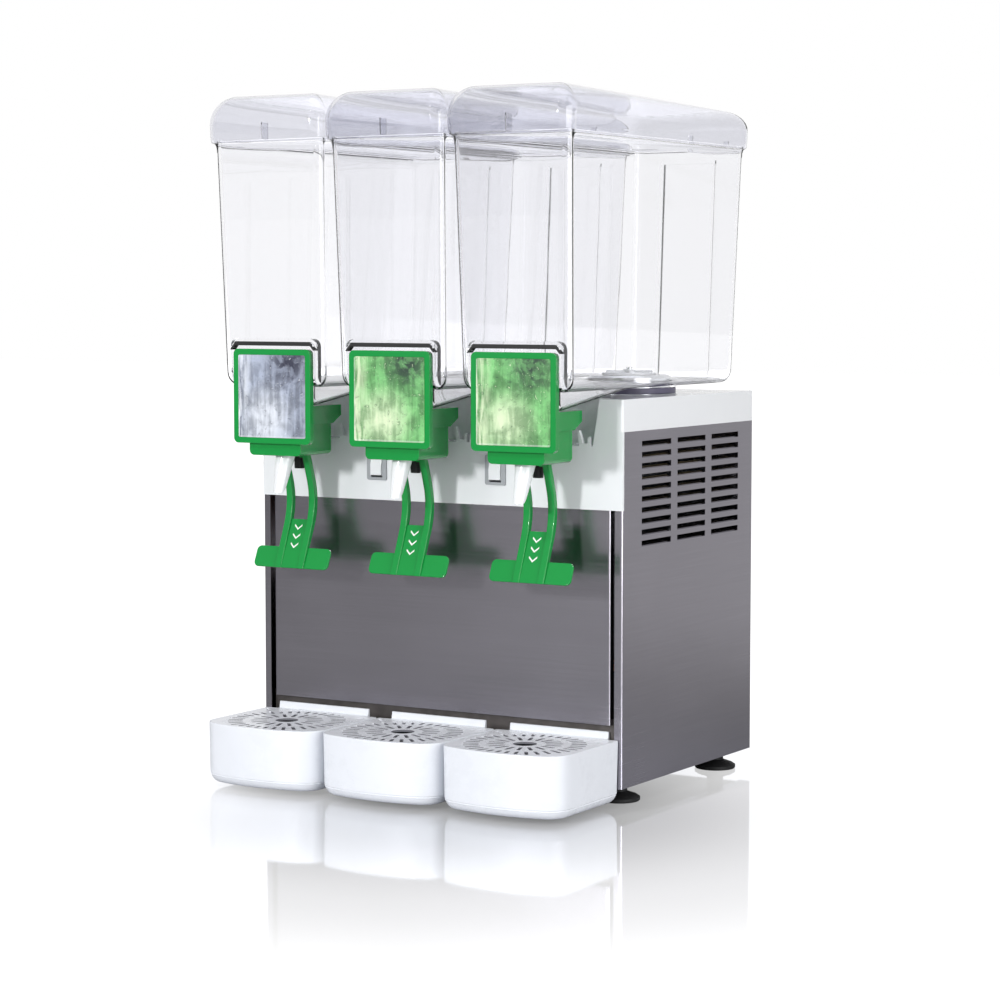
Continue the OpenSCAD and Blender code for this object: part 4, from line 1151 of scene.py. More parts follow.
@dataclass
class Bowl:
    """Tapered clear bowl with a rim bead, an arched recess for the tap and a sloping nose."""

    rim_half: float = 61.0
    foot_half: float = 57.0
    rim_front: float = -86.0
    foot_front: float = -77.5
    rim_rear: float = 262.0
    foot_rear: float = 249.0
    floor: float = 381.0
    rim: float = 612.0
    wall: float = 3.0
    corner: float = 8.0
    foot_r: float = 13.0
    bead: float = 0.4
    roll: float = 2.6
    roll_top: float = 608.9
    roll_h: float = 8.0
    roll_edge: float = 0.3
    roll_over: float = 0.2
    bead_low: float = 0.25
    bead_edge: float = 0.6
    nose_front: float = -72.0
    nose_half: float = 42.0
    nose_tip: float = 364.0
    nose_end: float = 70.0
    nose_round: float = 8.0
    nose_edge: float = 5.0
    nose_least: float = 1.0
    alcove_half: float = 46.5
    alcove_back: float = -72.3
    alcove_top: float = 423.5
    alcove_r: float = 5.0
    collar_y: float = 135.0
    collar_r: float = 46.5
    collar_bore: float = 41.5
    collar_low: float = 379.8
    collar_over: float = 1.5
    outlet_y: float = -35.0
    outlet_z: float = 350.0
    outlet_r: float = 7.95
    outlet_bore: float = 5.5
    channel_half: float = 27.0
    channel_d: float = 3.0
    channel_below: float = 16.0
    fillet_steps: int = 6
    edge_steps: int = 4
    tip_steps: int = 10
    least_r: float = 0.4
    over: float = 1.0
    sharp: float = 28.0

    def body(self, inset: float, above: float) -> Form:
        """Tapered box drawn in by an inset, with round lower edges.

        Args:
            inset: Distance from the outer skin.
            above: Run past the rim, or 0.

        Returns:
            The form about X = 0.
        """
        r = self.foot_r - inset
        rings = []
        for turn in quarter(self.fillet_steps):
            off = inset + r * (1 - math.sin(turn))
            rings.append(rounded_loop(
                self.foot_half - off, self.foot_front + off, self.foot_rear - off,
                max(self.corner - off, self.least_r), self.floor + self.foot_r - r * math.cos(turn),
            ))
        for z in (self.rim, self.rim + above) if above else (self.rim,):
            rings.append(rounded_loop(
                self.rim_half - inset, self.rim_front + inset, self.rim_rear - inset, self.corner - inset, z
            ))
        return Form().loft(rings)

    def nose_outline(self, inset: float) -> list[tuple[float, float]]:
        """Side outline of the nose drawn in by an inset: a round tip and a floor rising to the rear.

        Args:
            inset: Distance from the outer skin.

        Returns:
            Points in Y and Z.
        """
        r = self.nose_round - inset
        tip_y, tip_z = self.nose_front + self.nose_round, self.nose_tip + self.nose_round
        end_y, end_z = self.nose_end, self.floor + inset
        reach = math.hypot(end_y - tip_y, end_z - tip_z)
        touch = math.atan2(end_z - tip_z, end_y - tip_y) - math.acos(r / reach)
        turns = [math.pi + (touch + math.pi) * i / self.tip_steps for i in range(self.tip_steps + 1)]
        arc = [(tip_y + r * math.cos(t), tip_z + r * math.sin(t)) for t in turns]
        top = self.floor + self.foot_r
        return [*arc, (end_y, end_z), (end_y, top), (tip_y - r, top)]

    def nose(self, inset: float) -> Form:
        """Nose with softened side edges, drawn in by an inset.

        Args:
            inset: Distance from the outer skin.

        Returns:
            The form about X = 0.
        """
        edge = max(self.nose_edge - inset, self.nose_least)
        half = self.nose_half - inset
        levels = []
        for turn in quarter(self.edge_steps):
            levels.append((half - edge * (1 - math.sin(turn)), inset + edge * (1 - math.cos(turn))))
        levels.reverse()
        sides = [(-x, w) for x, w in levels] + [(x, w) for x, w in reversed(levels)]
        return Form().loft([[Vector((x, y, z)) for y, z in self.nose_outline(w)] for x, w in sides])

    def channel(self, wall: float) -> Thing:
        """Upright channel in the rear wall, grown by a wall.

        Args:
            wall: Thickness that the cut leaves round it.

        Returns:
            The cutting piece.
        """
        slope = (self.rim_rear - self.foot_rear) / (self.rim - self.floor - self.foot_r)
        low, high = self.floor - self.over, self.rim - self.channel_below + wall
        foot = self.foot_rear - self.channel_d - wall - slope * (self.foot_r + self.over)
        beyond = self.rim_rear + self.over
        outline = ((foot, low), (beyond, low), (beyond, high), (foot + slope * (high - low), high))
        half = self.channel_half + wall
        return Form().slab(outline, -half, half).piece("channel")

    def alcove(self, wall: float) -> Thing:
        """Arched recess in the front that takes the tap's frame, grown by a wall.

        Args:
            wall: Thickness that the cut leaves round it.

        Returns:
            The cutting piece.
        """
        half, r = self.alcove_half + wall, self.alcove_r + wall
        x, z = half - r, self.alcove_top + wall - r
        arc = [(x + r * math.cos(t), z + r * math.sin(t)) for t in quarter(self.fillet_steps)]
        low = self.nose_tip - self.over
        outline = [(half, low), *arc, *((-x, z) for x, z in reversed(arc)), (-half, low)]
        depths = (self.rim_front - self.over, self.alcove_back + wall)
        return Form().loft([[Vector((x, y, z)) for x, z in outline] for y in depths]).piece("alcove")

    def shell(self) -> Thing:
        """Whole bowl about X = 0.

        Returns:
            The bowl, not yet dressed.
        """
        shell = joined(self.body(0.0, 0.0).piece("bowl_shell"), Join.CUT, self.channel(0.0), self.alcove(0.0))
        flare = [
            (self.roll * (1 - math.cos(t)), self.roll_top - self.roll_h * (1 - math.sin(t)))
            for t in quarter(self.fillet_steps)
        ]
        flare += [
            (self.roll - self.roll_edge, self.roll_top + self.roll_over),
            (self.bead, self.roll_top + self.bead_low),
            (self.bead, self.rim - self.bead_edge),
            (self.bead - self.bead_edge, self.rim),
        ]
        bead = Form().loft([
            rounded_loop(self.rim_half + d, self.rim_front - d, self.rim_rear + d, self.corner + d, z)
            for d, z in flare
        ])
        foot = (0.0, self.collar_y, self.collar_low)
        collar = Form().post(foot, self.collar_r, self.floor + self.collar_over)
        outlet = Form().post((0.0, self.outlet_y, self.outlet_z), self.outlet_r, self.floor)
        adds = {"nose": self.nose(0.0), "bead": bead, "collar": collar, "outlet": outlet}
        joined(shell, Join.FUSE, *[form.piece(name) for name, form in adds.items()])
        hole = Form().post(
            (0.0, self.collar_y, self.collar_low - self.over), self.collar_bore,
            self.floor + self.wall + self.over,
        )
        below = (0.0, self.outlet_y, self.outlet_z - self.over)
        bore = Form().post(below, self.outlet_bore, self.floor - self.over)
        inside = self.body(self.wall, self.over).piece("inside")
        joined(inside, Join.CUT, self.channel(self.wall), self.alcove(self.wall))
        cuts = {"nose_inside": self.nose(self.wall), "hole": hole, "bore": bore}
        joined(shell, Join.CUT, inside, *[form.piece(name) for name, form in cuts.items()])
        return levelled(smooth(shell, self.sharp))

    def build(self) -> None:
        """Builds and dresses the three bowls."""
        shell = self.shell()
        for n in BOWLS:
            dress(shifted(shell, f"bowl_{n}_shell", bowl_x(n)), f"bowl_{n}", CLEAR, f"bowl_{n}")
        discard(shell)


@dataclass
class Lid:
    """Domed clear lid with a skirt over the bowl's rim and ribs that rest on it."""

    half_w: float = 65.7
    front: float = -94.5
    rear: float = 269.5
    low: float = 609.5
    widest: float = 627.0
    top: float = 654.0
    fall: float = 8.0
    wall: float = 2.2
    tuck: float = 1.8
    round_in: float = 25.0
    corner: float = 14.0
    rim: float = 612.0
    rib_t: float = 1.0
    rib_in: float = 50.0
    rib_low: float = 3.0
    rib_root: float = 0.8
    rib_reach: float = 3.5
    rib_edge: float = 1.0
    side_over: float = 4.7
    front_over: float = 8.5
    rear_over: float = 7.5
    skirt_steps: int = 4
    dome_steps: int = 12
    corner_steps: int = 10
    corner_fade: float = 0.6
    least_r: float = 1.0
    sharp: float = 28.0

    def loop(self, inset: float, r: float, z: float) -> Ring:
        """Loop drawn in by an inset, lowered towards the rear by its share of the top's fall.

        Args:
            inset: Distance from the widest outline.
            r: Corner radius.
            z: Height.

        Returns:
            Points of the loop.
        """
        front, rear = self.front + inset, self.rear - inset
        ring = rounded_loop(self.half_w - inset, front, rear, r, z, self.corner_steps)
        share = max(0.0, (z - self.widest) / (self.top - self.widest))
        for point in ring:
            point.z -= self.fall * share * (point.y - self.front) / (self.rear - self.front)
        return ring

    def skin(self, wall: float) -> list[Ring]:
        """Loops of one skin from its lower edge over the widest line to the top.

        Args:
            wall: Distance from the outer skin.

        Returns:
            Loops from the edge to the top.
        """
        rings = []
        for turn in reversed(quarter(self.skirt_steps)):
            inset = wall + self.tuck * (1 - math.cos(turn))
            z = self.widest - (self.widest - self.low) * math.sin(turn)
            rings.append(self.loop(inset, self.corner - inset, z))
        across, rise = self.round_in - wall, self.top - self.widest - wall
        for turn in quarter(self.dome_steps)[1:]:
            inset = self.round_in - across * math.cos(turn)
            r = max(self.corner - inset * self.corner_fade, self.least_r)
            rings.append(self.loop(inset, r, self.widest + rise * math.sin(turn)))
        return rings

    def rib(self, over: float, high: float, name: str) -> Thing:
        """Rib about the origin, with X measured inward from the widest line.

        Args:
            over: Reach over the bowl's rim.
            high: Top of the rib.
            name: Its name.

        Returns:
            The rib.
        """
        root, inner = self.wall * self.rib_root, over + self.rib_reach
        foot = ((inner, self.rim), (root, self.rim))
        outline = (*foot, (root, high), (inner - self.rib_edge, high), (inner, high - self.rib_edge))
        sides = (-self.rib_t / 2, self.rib_t / 2)
        return Form().loft([[Vector((x, y, z)) for x, z in outline] for y in sides]).piece(name, front=0.0)

    def ribs(self) -> list[Thing]:
        """Low ribs on the four sides that rest on the bowl's rim.

        Returns:
            The ribs in place.
        """
        mid = (self.front + self.rear) / 2
        half_l = (self.rear - self.front) / 2
        low, tall = self.rim + self.rib_low, self.widest
        ends = [mid + side * (half_l - self.rib_in) for side in (-1, 1)]
        seats = [(180, self.half_w, y, self.side_over, low) for y in ends]
        seats += [(0, -self.half_w, y, self.side_over, low) for y in ends]
        seats += [(90, 0.0, self.front, self.front_over, tall), (270, 0.0, self.rear, self.rear_over, tall)]
        made = []
        for number, (turn, x, y, over, high) in enumerate(seats):
            rib = self.rib(over, high, f"rib_{number}")
            seat = Matrix.Translation((x * MM, (y + CABINET_FRONT) * MM, 0.0))
            rib.data.transform(seat @ Matrix.Rotation(math.radians(turn), 4, "Z"))
            made.append(rib)
        return made

    def shell(self) -> Thing:
        """Whole lid about X = 0."""
        shell = Form().loft([*self.skin(0.0)[::-1], *self.skin(self.wall)]).piece("lid_shell")
        return levelled(smooth(joined(shell, Join.FUSE, *self.ribs()), self.sharp))

    def build(self) -> None:
        """Builds and dresses the three lids."""
        shell = self.shell()
        for n in BOWLS:
            dress(shifted(shell, f"lid_{n}_shell", bowl_x(n)), f"lid_{n}", LID_SHADED_CLEAR, f"lid_{n}")
        discard(shell)


@dataclass
class Tap:
    """Green tap with its frame, card, spout, valve and push lever."""

    ARM_STEPS = 40
    PLATE_STEPS = 12
    BAR_STEPS = 32
    SPOUT_STEPS = 48
    CHEVRONS = (-79.0, -87.5, -96.0)

    pivot_y: float = -44.0
    pivot_z: float = 322.0
    arm_in: float = 9.4
    arm_w: float = 7.0
    arm_r: float = 0.9
    arm_top: float = 2.0
    half_d: float = 3.0
    hub_r: float = 4.5
    trunnion_r: float = 3.0
    trunnion_l: float = 7.1
    trunnion_in: float = 1.0
    knee_back: float = 17.0
    knee_drop: float = 53.0
    knee_soft: float = 22.0
    fore: float = 9.0
    drop: float = 114.0
    plate_drop: float = 69.0
    plate_t: float = 3.5
    plate_r: float = 0.6
    rib_end: float = 1.0
    paddle_half: float = 42.8
    paddle_h: float = 21.0
    paddle_t: float = 2.5
    paddle_r: float = 5.0
    paddle_edge: float = 0.8
    paddle_soft: float = 0.25
    finger_y: float = 9.0
    finger_z: float = -7.0
    finger_r: float = 2.2
    finger_w: float = 3.7
    finger_in: float = 0.5
    bar_edge: float = 0.6
    strip_half: float = 43.0
    strip_end: float = 49.5
    strip_low: float = 419.6
    strip_high: float = 423.5
    strip_tip: float = 415.5
    strip_w: float = 3.2
    strip_front: float = -78.6
    strip_rear: float = -72.3
    strip_edge: float = 0.5
    spout_y: float = -57.5
    spout_top: float = 316.0
    spout_low: float = 281.0
    spout_fore: float = 11.4
    spout_root_r: float = 9.6
    spout_tip_r: float = 5.3
    spout_wall: float = 1.3
    spout_full: float = 0.45
    spout_edge: float = 0.3
    spout_over: float = 1.0
    bore_over: float = 0.1
    housing_edge: float = 0.9
    housing_steps: int = 3
    card_edge: float = 0.2
    valve_edge: float = 0.4
    valve_rise: float = 2.8
    chevron_half: float = 4.2
    chevron_rise: float = 3.6
    chevron_stroke: float = 1.7
    chevron_lift: float = 0.15
    chevron_sink: float = 0.3
    sharp: float = 40.0

    def line(self, z: float) -> float:
        """Y of the lever's centre line at a height, both from the pivot, with a soft knee.

        Args:
            z: Height from the pivot.

        Returns:
            Y from the pivot.
        """
        upper = -self.knee_back / self.knee_drop
        lower = (self.knee_back + self.fore) / (self.drop - self.knee_drop)
        off = z + self.knee_drop
        if off >= self.knee_soft:
            return upper * z
        if off <= -self.knee_soft:
            return self.knee_back + lower * off
        bend = (off + self.knee_soft) ** 2 / (4 * self.knee_soft)
        return self.knee_back + lower * off + (upper - lower) * bend

    def arm(self, form: Form, side: int) -> None:
        """Adds one arm, square in section, that runs down the plate as a rib.

        Args:
            form: Form that takes the arm.
            side: -1 for the left arm or 1 for the right.
        """
        rings = []
        x = side * (self.arm_in + self.arm_w / 2)
        sink = 2 * self.half_d - self.plate_t - self.rib_end
        for i in range(self.ARM_STEPS + 1):
            z = -self.arm_top - (self.drop - self.arm_top) * i / self.ARM_STEPS
            fade = min(1.0, max(0.0, (-z - self.plate_drop) / (self.drop - self.plate_drop)))
            front, rear = self.line(z) - self.half_d + fade * sink, self.line(z) + self.half_d
            loop = rounded_loop(self.arm_w / 2, front, rear, self.arm_r, z, steps=4)
            rings.append([p + Vector((x, 0.0, 0.0)) for p in loop])
        form.loft(rings)

    def across(self, form: Form, y: float, z: float, r: float, x1: float, x2: float) -> None:
        """Adds a round bar along X with softened ends.

        Args:
            form: Form that takes the bar.
            y: Y of its axis.
            z: Height of its axis.
            r: Its radius.
            x1: Its left end.
            x2: Its right end.
        """
        edge = min(self.bar_edge, r / 3)
        turns = [2 * math.pi * i / self.BAR_STEPS for i in range(self.BAR_STEPS)]
        levels = ((x1, edge), (x1 + edge, 0.0), (x2 - edge, 0.0), (x2, edge))
        form.loft([
            [Vector((x, y + (r - d) * math.cos(t), z + (r - d) * math.sin(t))) for t in turns]
            for x, d in levels
        ])

    def lever(self) -> Thing:
        """Push lever about X = 0.

        Returns:
            The lever, not yet dressed.
        """
        form = Form()
        out = self.arm_in + self.arm_w
        for side in (-1, 1):
            self.arm(form, side)
            ends = sorted((side * self.arm_in, side * out))
            self.across(form, 0.0, 0.0, self.hub_r, *ends)
            ends = sorted((side * (out - self.trunnion_in), side * (out + self.trunnion_l)))
            self.across(form, 0.0, 0.0, self.trunnion_r, *ends)
            root = self.arm_in + self.finger_in
            ends = sorted((side * root, side * (root - self.finger_w)))
            self.across(form, self.finger_y, self.finger_z, self.finger_r, *ends)
            low, high = self.finger_z - self.finger_r, self.finger_z + self.finger_r
            form.slab(((0.0, low), (self.finger_y, low), (self.finger_y, high), (0.0, high)), *ends)
        plate = []
        for i in range(self.PLATE_STEPS + 1):
            z = -self.plate_drop - (self.drop - self.plate_drop) * i / self.PLATE_STEPS
            y = self.line(z) + self.half_d
            plate.append(rounded_loop(out - self.arm_w / 2, y - self.plate_t, y, self.plate_r, z, steps=2))
        form.loft(plate)
        since = form.count()
        front = self.half_d - self.paddle_t
        near = ((self.paddle_edge, 0.0), (self.paddle_soft, self.paddle_soft), (0.0, self.paddle_edge))
        rings = []
        for d, y in (*near, *((d, self.paddle_t - y) for d, y in reversed(near))):
            loop = rounded_loop(self.paddle_half - d, d, self.paddle_h - d, self.paddle_r - d, 0.0)
            rings.append([Vector((p.x, front + y, p.y)) for p in loop])
        form.loft(rings)
        tilt = math.atan2(self.knee_back + self.fore, self.drop - self.knee_drop)
        seat = Matrix.Translation((0.0, -self.fore, -self.drop)) @ Matrix.Rotation(-tilt, 4, "X")
        form.turned(seat, since)
        form.turned(Matrix.Translation((0.0, self.pivot_y, self.pivot_z)), 0)
        return levelled(form.piece("lever", self.sharp))

    def chevrons(self) -> Thing:
        """Three printed chevrons on the lever's plate that point to the push paddle.

        Returns:
            One piece with the three chevrons.
        """
        form = Form()
        half, rise, stroke = self.chevron_half, self.chevron_rise, self.chevron_stroke
        for z in self.CHEVRONS:
            low = ((0.0, z), (half, z + rise))
            high = ((half, z + rise + stroke), (0.0, z + stroke), (-half, z + rise + stroke))
            outline = (*low, *high, (-half, z + rise))
            rings = []
            for lift in (-self.chevron_sink, self.chevron_lift):
                depth = self.half_d - self.plate_t - lift + self.pivot_y
                rings.append([Vector((x, self.line(h) + depth, h + self.pivot_z)) for x, h in outline])
            form.loft(rings)
        return form.piece("chevrons")

    def strip(self) -> Thing:
        """Black strip along the top of the bowl's recess, where a dark line shows below the hood, with ends
        that droop past the tap's frame.

        Returns:
            The strip, not yet dressed.
        """
        slope = (self.strip_end - self.strip_half) / (self.strip_high - self.strip_tip)
        inner = self.strip_end - self.strip_w - slope * (self.strip_low - self.strip_tip)
        right = (
            (self.strip_half, self.strip_high),
            (self.strip_end, self.strip_tip),
            (self.strip_end - self.strip_w, self.strip_tip),
            (inner, self.strip_low),
        )
        outline = [*right, *((-x, z) for x, z in reversed(right))]
        depths = (self.strip_front, self.strip_rear)
        form = Form().loft([[Vector((x, y, z)) for x, z in outline] for y in depths])
        return levelled(smooth(bevelled(form.piece("strip"), self.strip_edge)))

    def cone(self, wall: float, over: float) -> Form:
        """Slanted cone of the spout drawn in by a wall, run past its tip by a share of its length.

        Args:
            wall: Distance from the outer skin.
            over: Share of the length past the tip.

        Returns:
            The form.
        """
        rings = []
        for share in (0.0, 0.5, 1.0 + over):
            r = self.spout_root_r + (self.spout_tip_r - self.spout_root_r) * share - wall
            z = self.spout_top + (self.spout_low - self.spout_top) * share
            rings.append(circle_loop((0.0, self.spout_y - self.spout_fore * share, z), r, self.SPOUT_STEPS))
        return Form().loft(rings)

    def spout(self) -> Thing:
        """Hollow slanted spout about X = 0, cut away at its rear towards the tip.

        Returns:
            The spout, not yet dressed.
        """
        length = self.spout_top - self.spout_low
        full_z = self.spout_top - self.spout_full * length
        full_y = self.spout_y + self.spout_root_r
        tip_y = self.spout_y - self.spout_fore - self.spout_tip_r / 3
        low = self.spout_low - self.spout_over
        beyond = full_y + self.spout_root_r
        cut = ((full_y, full_z), (tip_y, low), (beyond, low), (beyond, full_z))
        rear = Form().slab(cut, -length, length)
        down = Matrix.Translation((0.0, 0.0, -self.spout_over))
        bore = self.cone(self.spout_wall, self.bore_over).turned(down, 0)
        cone = joined(self.cone(0.0, 0.0).piece("cone"), Join.CUT, bore.piece("bore"), rear.piece("rear"))
        return levelled(smooth(bevelled(cone, self.spout_edge)))

    def spring(self, number: int) -> None:
        """Dresses one valve spring as a copy with a mesh of its own.

        Args:
            number: Number of the tap.
        """
        node = f"tap_spring_{number}"
        coil = dress(cad_copy(node, f"tap_{number}_spring"), f"bowl_{number}", WIRE, node)
        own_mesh(coil)

    def build(self) -> None:
        """Builds and dresses the three taps."""
        lever, chevrons, strip, spout = self.lever(), self.chevrons(), self.strip(), self.spout()
        for n in BOWLS:
            body, arm, x = f"bowl_{n}", f"lever_{n}", bowl_x(n)
            housing = cad_copy(f"tap_body_{n}", f"tap_{n}_housing", self.housing_edge, self.housing_steps)
            dress(housing, body, GREEN, f"tap_body_{n}")
            card = cad_copy(f"tap_card_{n}", f"tap_{n}_card", self.card_edge)
            dress(card, body, PRINTS[n - 1], f"tap_card_{n}")
            dress(shifted(spout, f"tap_{n}_spout", x), body, WHITE, f"tap_spout_{n}")
            valve = cad_copy(f"tap_valve_{n}", f"tap_{n}_valve", self.valve_edge)
            dress(valve, f"valve_{n}", RUBBER, f"tap_valve_{n}")
            dress(shifted(lever, f"{arm}_push", x), arm, GREEN, f"tap_lever_{n}")
            dress(shifted(chevrons, f"{arm}_chevrons", x), arm, MARK_WHITE)
            dress(shifted(strip, f"{body}_edging", x), body, RUBBER)
            self.spring(n)
        discard(lever, chevrons, strip, spout)


@dataclass
class Tray:
    """White drip tray with a bowed front, a groove above its foot, a rear lip and a slotted grid."""

    GROOVE = ((1.1, -0.8), (1.45, -0.2), (1.45, 0.2), (0.9, 0.8), (0.8, 1.4))
    BRIM = ((0.1, 3.0), (0.15, 0.4), (0.4, 0.0))
    FLOOR = ((0.4, 8.0), (3.0, 2.0), (8.0, 0.0))
    UPRIGHT = 0.5

    half_w: float = 65.0
    reach: float = 116.0
    bow_r: float = 180.0
    corner_r: float = 24.0
    rear: float = -0.5
    rear_r: float = 1.2
    rear_soft: float = 0.4
    rear_run: float = 24.0
    low: float = 4.5
    top: float = 62.0
    wall: float = 3.5
    rim_wall: float = 1.0
    seat: float = 60.0
    rim_edge: float = 0.2
    groove_z: float = 12.8
    groove_gap: float = 0.5
    lip_half: float = 52.5
    lip_rise: float = 6.5
    lip_t: float = 2.5
    lip_depth: float = 16.0
    lip_slant: float = 1.0
    lip_edge: float = 0.5
    plinth: float = 6.0
    tab_x: float = 30.0
    tab_half: float = 6.3
    tab_reach: float = 9.3
    tab_low: float = 39.7
    tab_high: float = 42.0
    tab_rear: float = 1.0
    slots_r: float = 55.0
    grid_edge: float = 0.35
    foot_h: float = 12.0
    foot_in: float = 8.2
    skirt: float = 0.8
    bottom: float = 3.0
    bridge: float = 4.0
    foot_steps: int = 8
    corner_steps: int = 16
    bow_steps: int = 24
    sharp: float = 30.0

    def plan(self, margin: float, z: float) -> Ring:
        """Level loop of the tray drawn in by a margin.

        Args:
            margin: Distance from the outer skin.
            z: Height.

        Returns:
            Points of the loop.
        """
        dx = self.half_w - self.corner_r
        centre = self.bow_r - self.reach
        dy = math.sqrt((self.bow_r - self.corner_r) ** 2 - dx * dx)
        corner_y = centre - dy
        sweep = math.atan2(dy, dx)
        r, bow = self.corner_r - margin, self.bow_r - margin
        edge = self.half_w - margin
        rear = self.rear - margin
        right = [
            (edge, rear - self.rear_run),
            (edge, rear - self.rear_r),
            (edge - self.rear_soft, rear - self.rear_soft),
            (edge - self.rear_r, rear),
        ]
        points = [*right, *((-x, y) for x, y in reversed(right))]
        for i in range(self.corner_steps + 1):
            turn = math.pi + sweep * i / self.corner_steps
            points.append((-dx + r * math.cos(turn), corner_y + r * math.sin(turn)))
        for i in range(1, self.bow_steps):
            turn = math.pi + sweep + (math.pi - 2 * sweep) * i / self.bow_steps
            points.append((bow * math.cos(turn), centre + bow * math.sin(turn)))
        for i in range(self.corner_steps + 1):
            turn = 2 * math.pi - sweep + sweep * i / self.corner_steps
            points.append((dx + r * math.cos(turn), corner_y + r * math.sin(turn)))
        return [Vector((x, y, z)) for x, y in points]

    def outside(self) -> list[tuple[float, float]]:
        """Margins and heights of the outer wall from the foot to the rim.

        Returns:
            Pairs of margin and height.
        """
        foot = [
            (self.skirt + self.foot_in * (1 - math.sin(t)), self.low + self.foot_h * (1 - math.cos(t)))
            for t in quarter(self.foot_steps)
        ]
        wall = [pair for pair in foot if pair[1] < self.groove_z - self.groove_gap]
        wall += [(margin, self.groove_z + rise) for margin, rise in self.GROOVE]
        wall += [(margin, self.top - drop) for margin, drop in self.BRIM]
        return wall

    def shell(self) -> Thing:
        """Whole tray about X = 0.

        Returns:
            The tray, not yet dressed.
        """
        inside = self.low + self.bottom
        inner = [
            (self.rim_wall - self.rim_edge, self.top),
            (self.rim_wall, self.top - self.rim_edge),
            (self.rim_wall, self.seat),
            (self.wall, self.seat),
            *((self.wall + more, inside + rise) for more, rise in self.FLOOR),
        ]
        shell = Form().loft([self.plan(m, z) for m, z in [*self.outside(), *inner]]).piece("tray_shell")
        front, rear, low, high = -self.tab_reach, self.tab_rear, self.tab_low, self.tab_high
        cuts = Form()
        for side in (-1, 1):
            x1, x2 = side * self.tab_x - self.tab_half, side * self.tab_x + self.tab_half
            cuts.slab(((front, low), (rear, low), (rear, high), (front, high)), x1, x2)
        joined(shell, Join.CUT, cuts.piece("tab_slots"))
        high = self.top + self.lip_rise
        back, front = self.plinth, self.plinth - self.lip_t
        root = self.rear - self.rim_wall / 2
        outline = (
            (root, self.top - self.bridge),
            (front, self.top - self.bridge),
            (front, high - self.lip_depth),
            (back, high - self.lip_depth),
            (back, high),
            (front, high),
            (front - self.lip_slant, self.top),
            (root, self.top),
        )
        lip = Form().slab(outline, -self.lip_half, self.lip_half)
        joined(shell, Join.FUSE, bevelled(lip.piece("lip"), self.lip_edge))
        return self.shade_marked(levelled(smooth(shell, self.sharp)))

    def heart(self, number: int) -> Vector:
        """Middle of one tray at the seat of its grid, in metres."""
        return Vector((bowl_x(number), CABINET_FRONT - self.reach / 2, self.seat)) * MM

    def shade_marked(self, shell: Thing) -> Thing:
        """Marks the faces of the middle tray that look into it below the grid, for painted shade.

        Args:
            shell: Finished mesh of the middle tray.

        Returns:
            The same piece.
        """
        heart = self.heart(MIDDLE_BOWL)
        return ShadedBasin.mark_shade(shell, [
            face.center.z < heart.z and face.normal.dot(heart - face.center) > 0.0
            for face in shell.data.polygons
        ])

    def slotted(self, number: int) -> Thing:
        """Grid of one tray with the walls of its slots marked for painted shade.

        Args:
            number: Number of the tray.

        Returns:
            The grid, not yet dressed.
        """
        grid = cad_copy(f"drip_grid_{number}", f"tray_{number}_grid", self.grid_edge)
        heart = self.heart(number)
        return ShadedBasin.mark_shade(grid, [
            abs(face.normal.z) < self.UPRIGHT and (face.center - heart).xy.length < self.slots_r * MM
            for face in grid.data.polygons
        ])

    def build(self) -> None:
        """Builds and dresses the three trays and grids."""
        shell = self.shell()
        for n in BOWLS:
            dress(shifted(shell, f"tray_{n}_shell", bowl_x(n)), f"tray_{n}", TRAY_WHITE, f"drip_tray_{n}")
            dress(self.slotted(n), f"grid_{n}", GRID_SHADED_WHITE, f"drip_grid_{n}")
        discard(shell)


@dataclass(frozen=True)
class StudioFloor(Finish):
    """Pale floor that shows the object's cast shadow, a painted shadow in front of the trays where its glow
    is dimmed, and a reflection that fades away from it.
    """

    MATT = (0.36, 0.36, 0.36)
    MIRROR = (0.87, 0.89, 0.95)
    MIRROR_ROUGHNESS = 0.05
    MIRROR_SHARE = 0.45
    MIRROR_FADE = (0.3, 0.85)
    # Glow of the floor at the middle of the painted shadow; it rises to full away from it.
    PAINTED_SHADOW_GLOW = 0.36
    GLOW_FADE = (0.06, 0.36)
    PAINTED_SHADOW_PLACE = (0.1, -0.18)
    REAR_GLOW = 0.4
    REAR_FADE = (0.2, 1.5)

    def shade(self, sheet: Sheet) -> Sock:
        """Shader of the finish.

        Args:
            sheet: Node tree that takes the nodes.

        Returns:
            The surface shader.
        """
        x, y, _ = sheet.parts(sheet.coords())
        away = ((x - self.PAINTED_SHADOW_PLACE[0]) ** 2.0 + (y - self.PAINTED_SHADOW_PLACE[1]) ** 2.0) ** 0.5
        # Painted shadow: the floor's glow is dimmed near a place in front of the trays.
        plain = self.PAINTED_SHADOW_GLOW + (1.0 - self.PAINTED_SHADOW_GLOW) * away.step(*self.GLOW_FADE)
        plain = sheet.ray("Camera").most(sheet.ray("Transmission")) * plain
        plain = plain + sheet.ray("Glossy") * self.REAR_GLOW * y.step(*self.REAR_FADE)
        matt = sheet.add("ShaderNodeBsdfDiffuse", {}, {"Color": self.MATT})
        glow = sheet.add("ShaderNodeEmission", {}, {"Color": PURE_WHITE, "Strength": plain})
        base = sheet.add("ShaderNodeAddShader", {}, {0: matt, 1: glow})
        polish = {"Color": self.MIRROR, "Roughness": self.MIRROR_ROUGHNESS}
        mirror = sheet.add("ShaderNodeBsdfGlossy", {}, polish)
        share = self.MIRROR_SHARE * (1.0 - away.step(*self.MIRROR_FADE))
        return sheet.add("ShaderNodeMixShader", {}, {0: share, 1: base, 2: mirror})


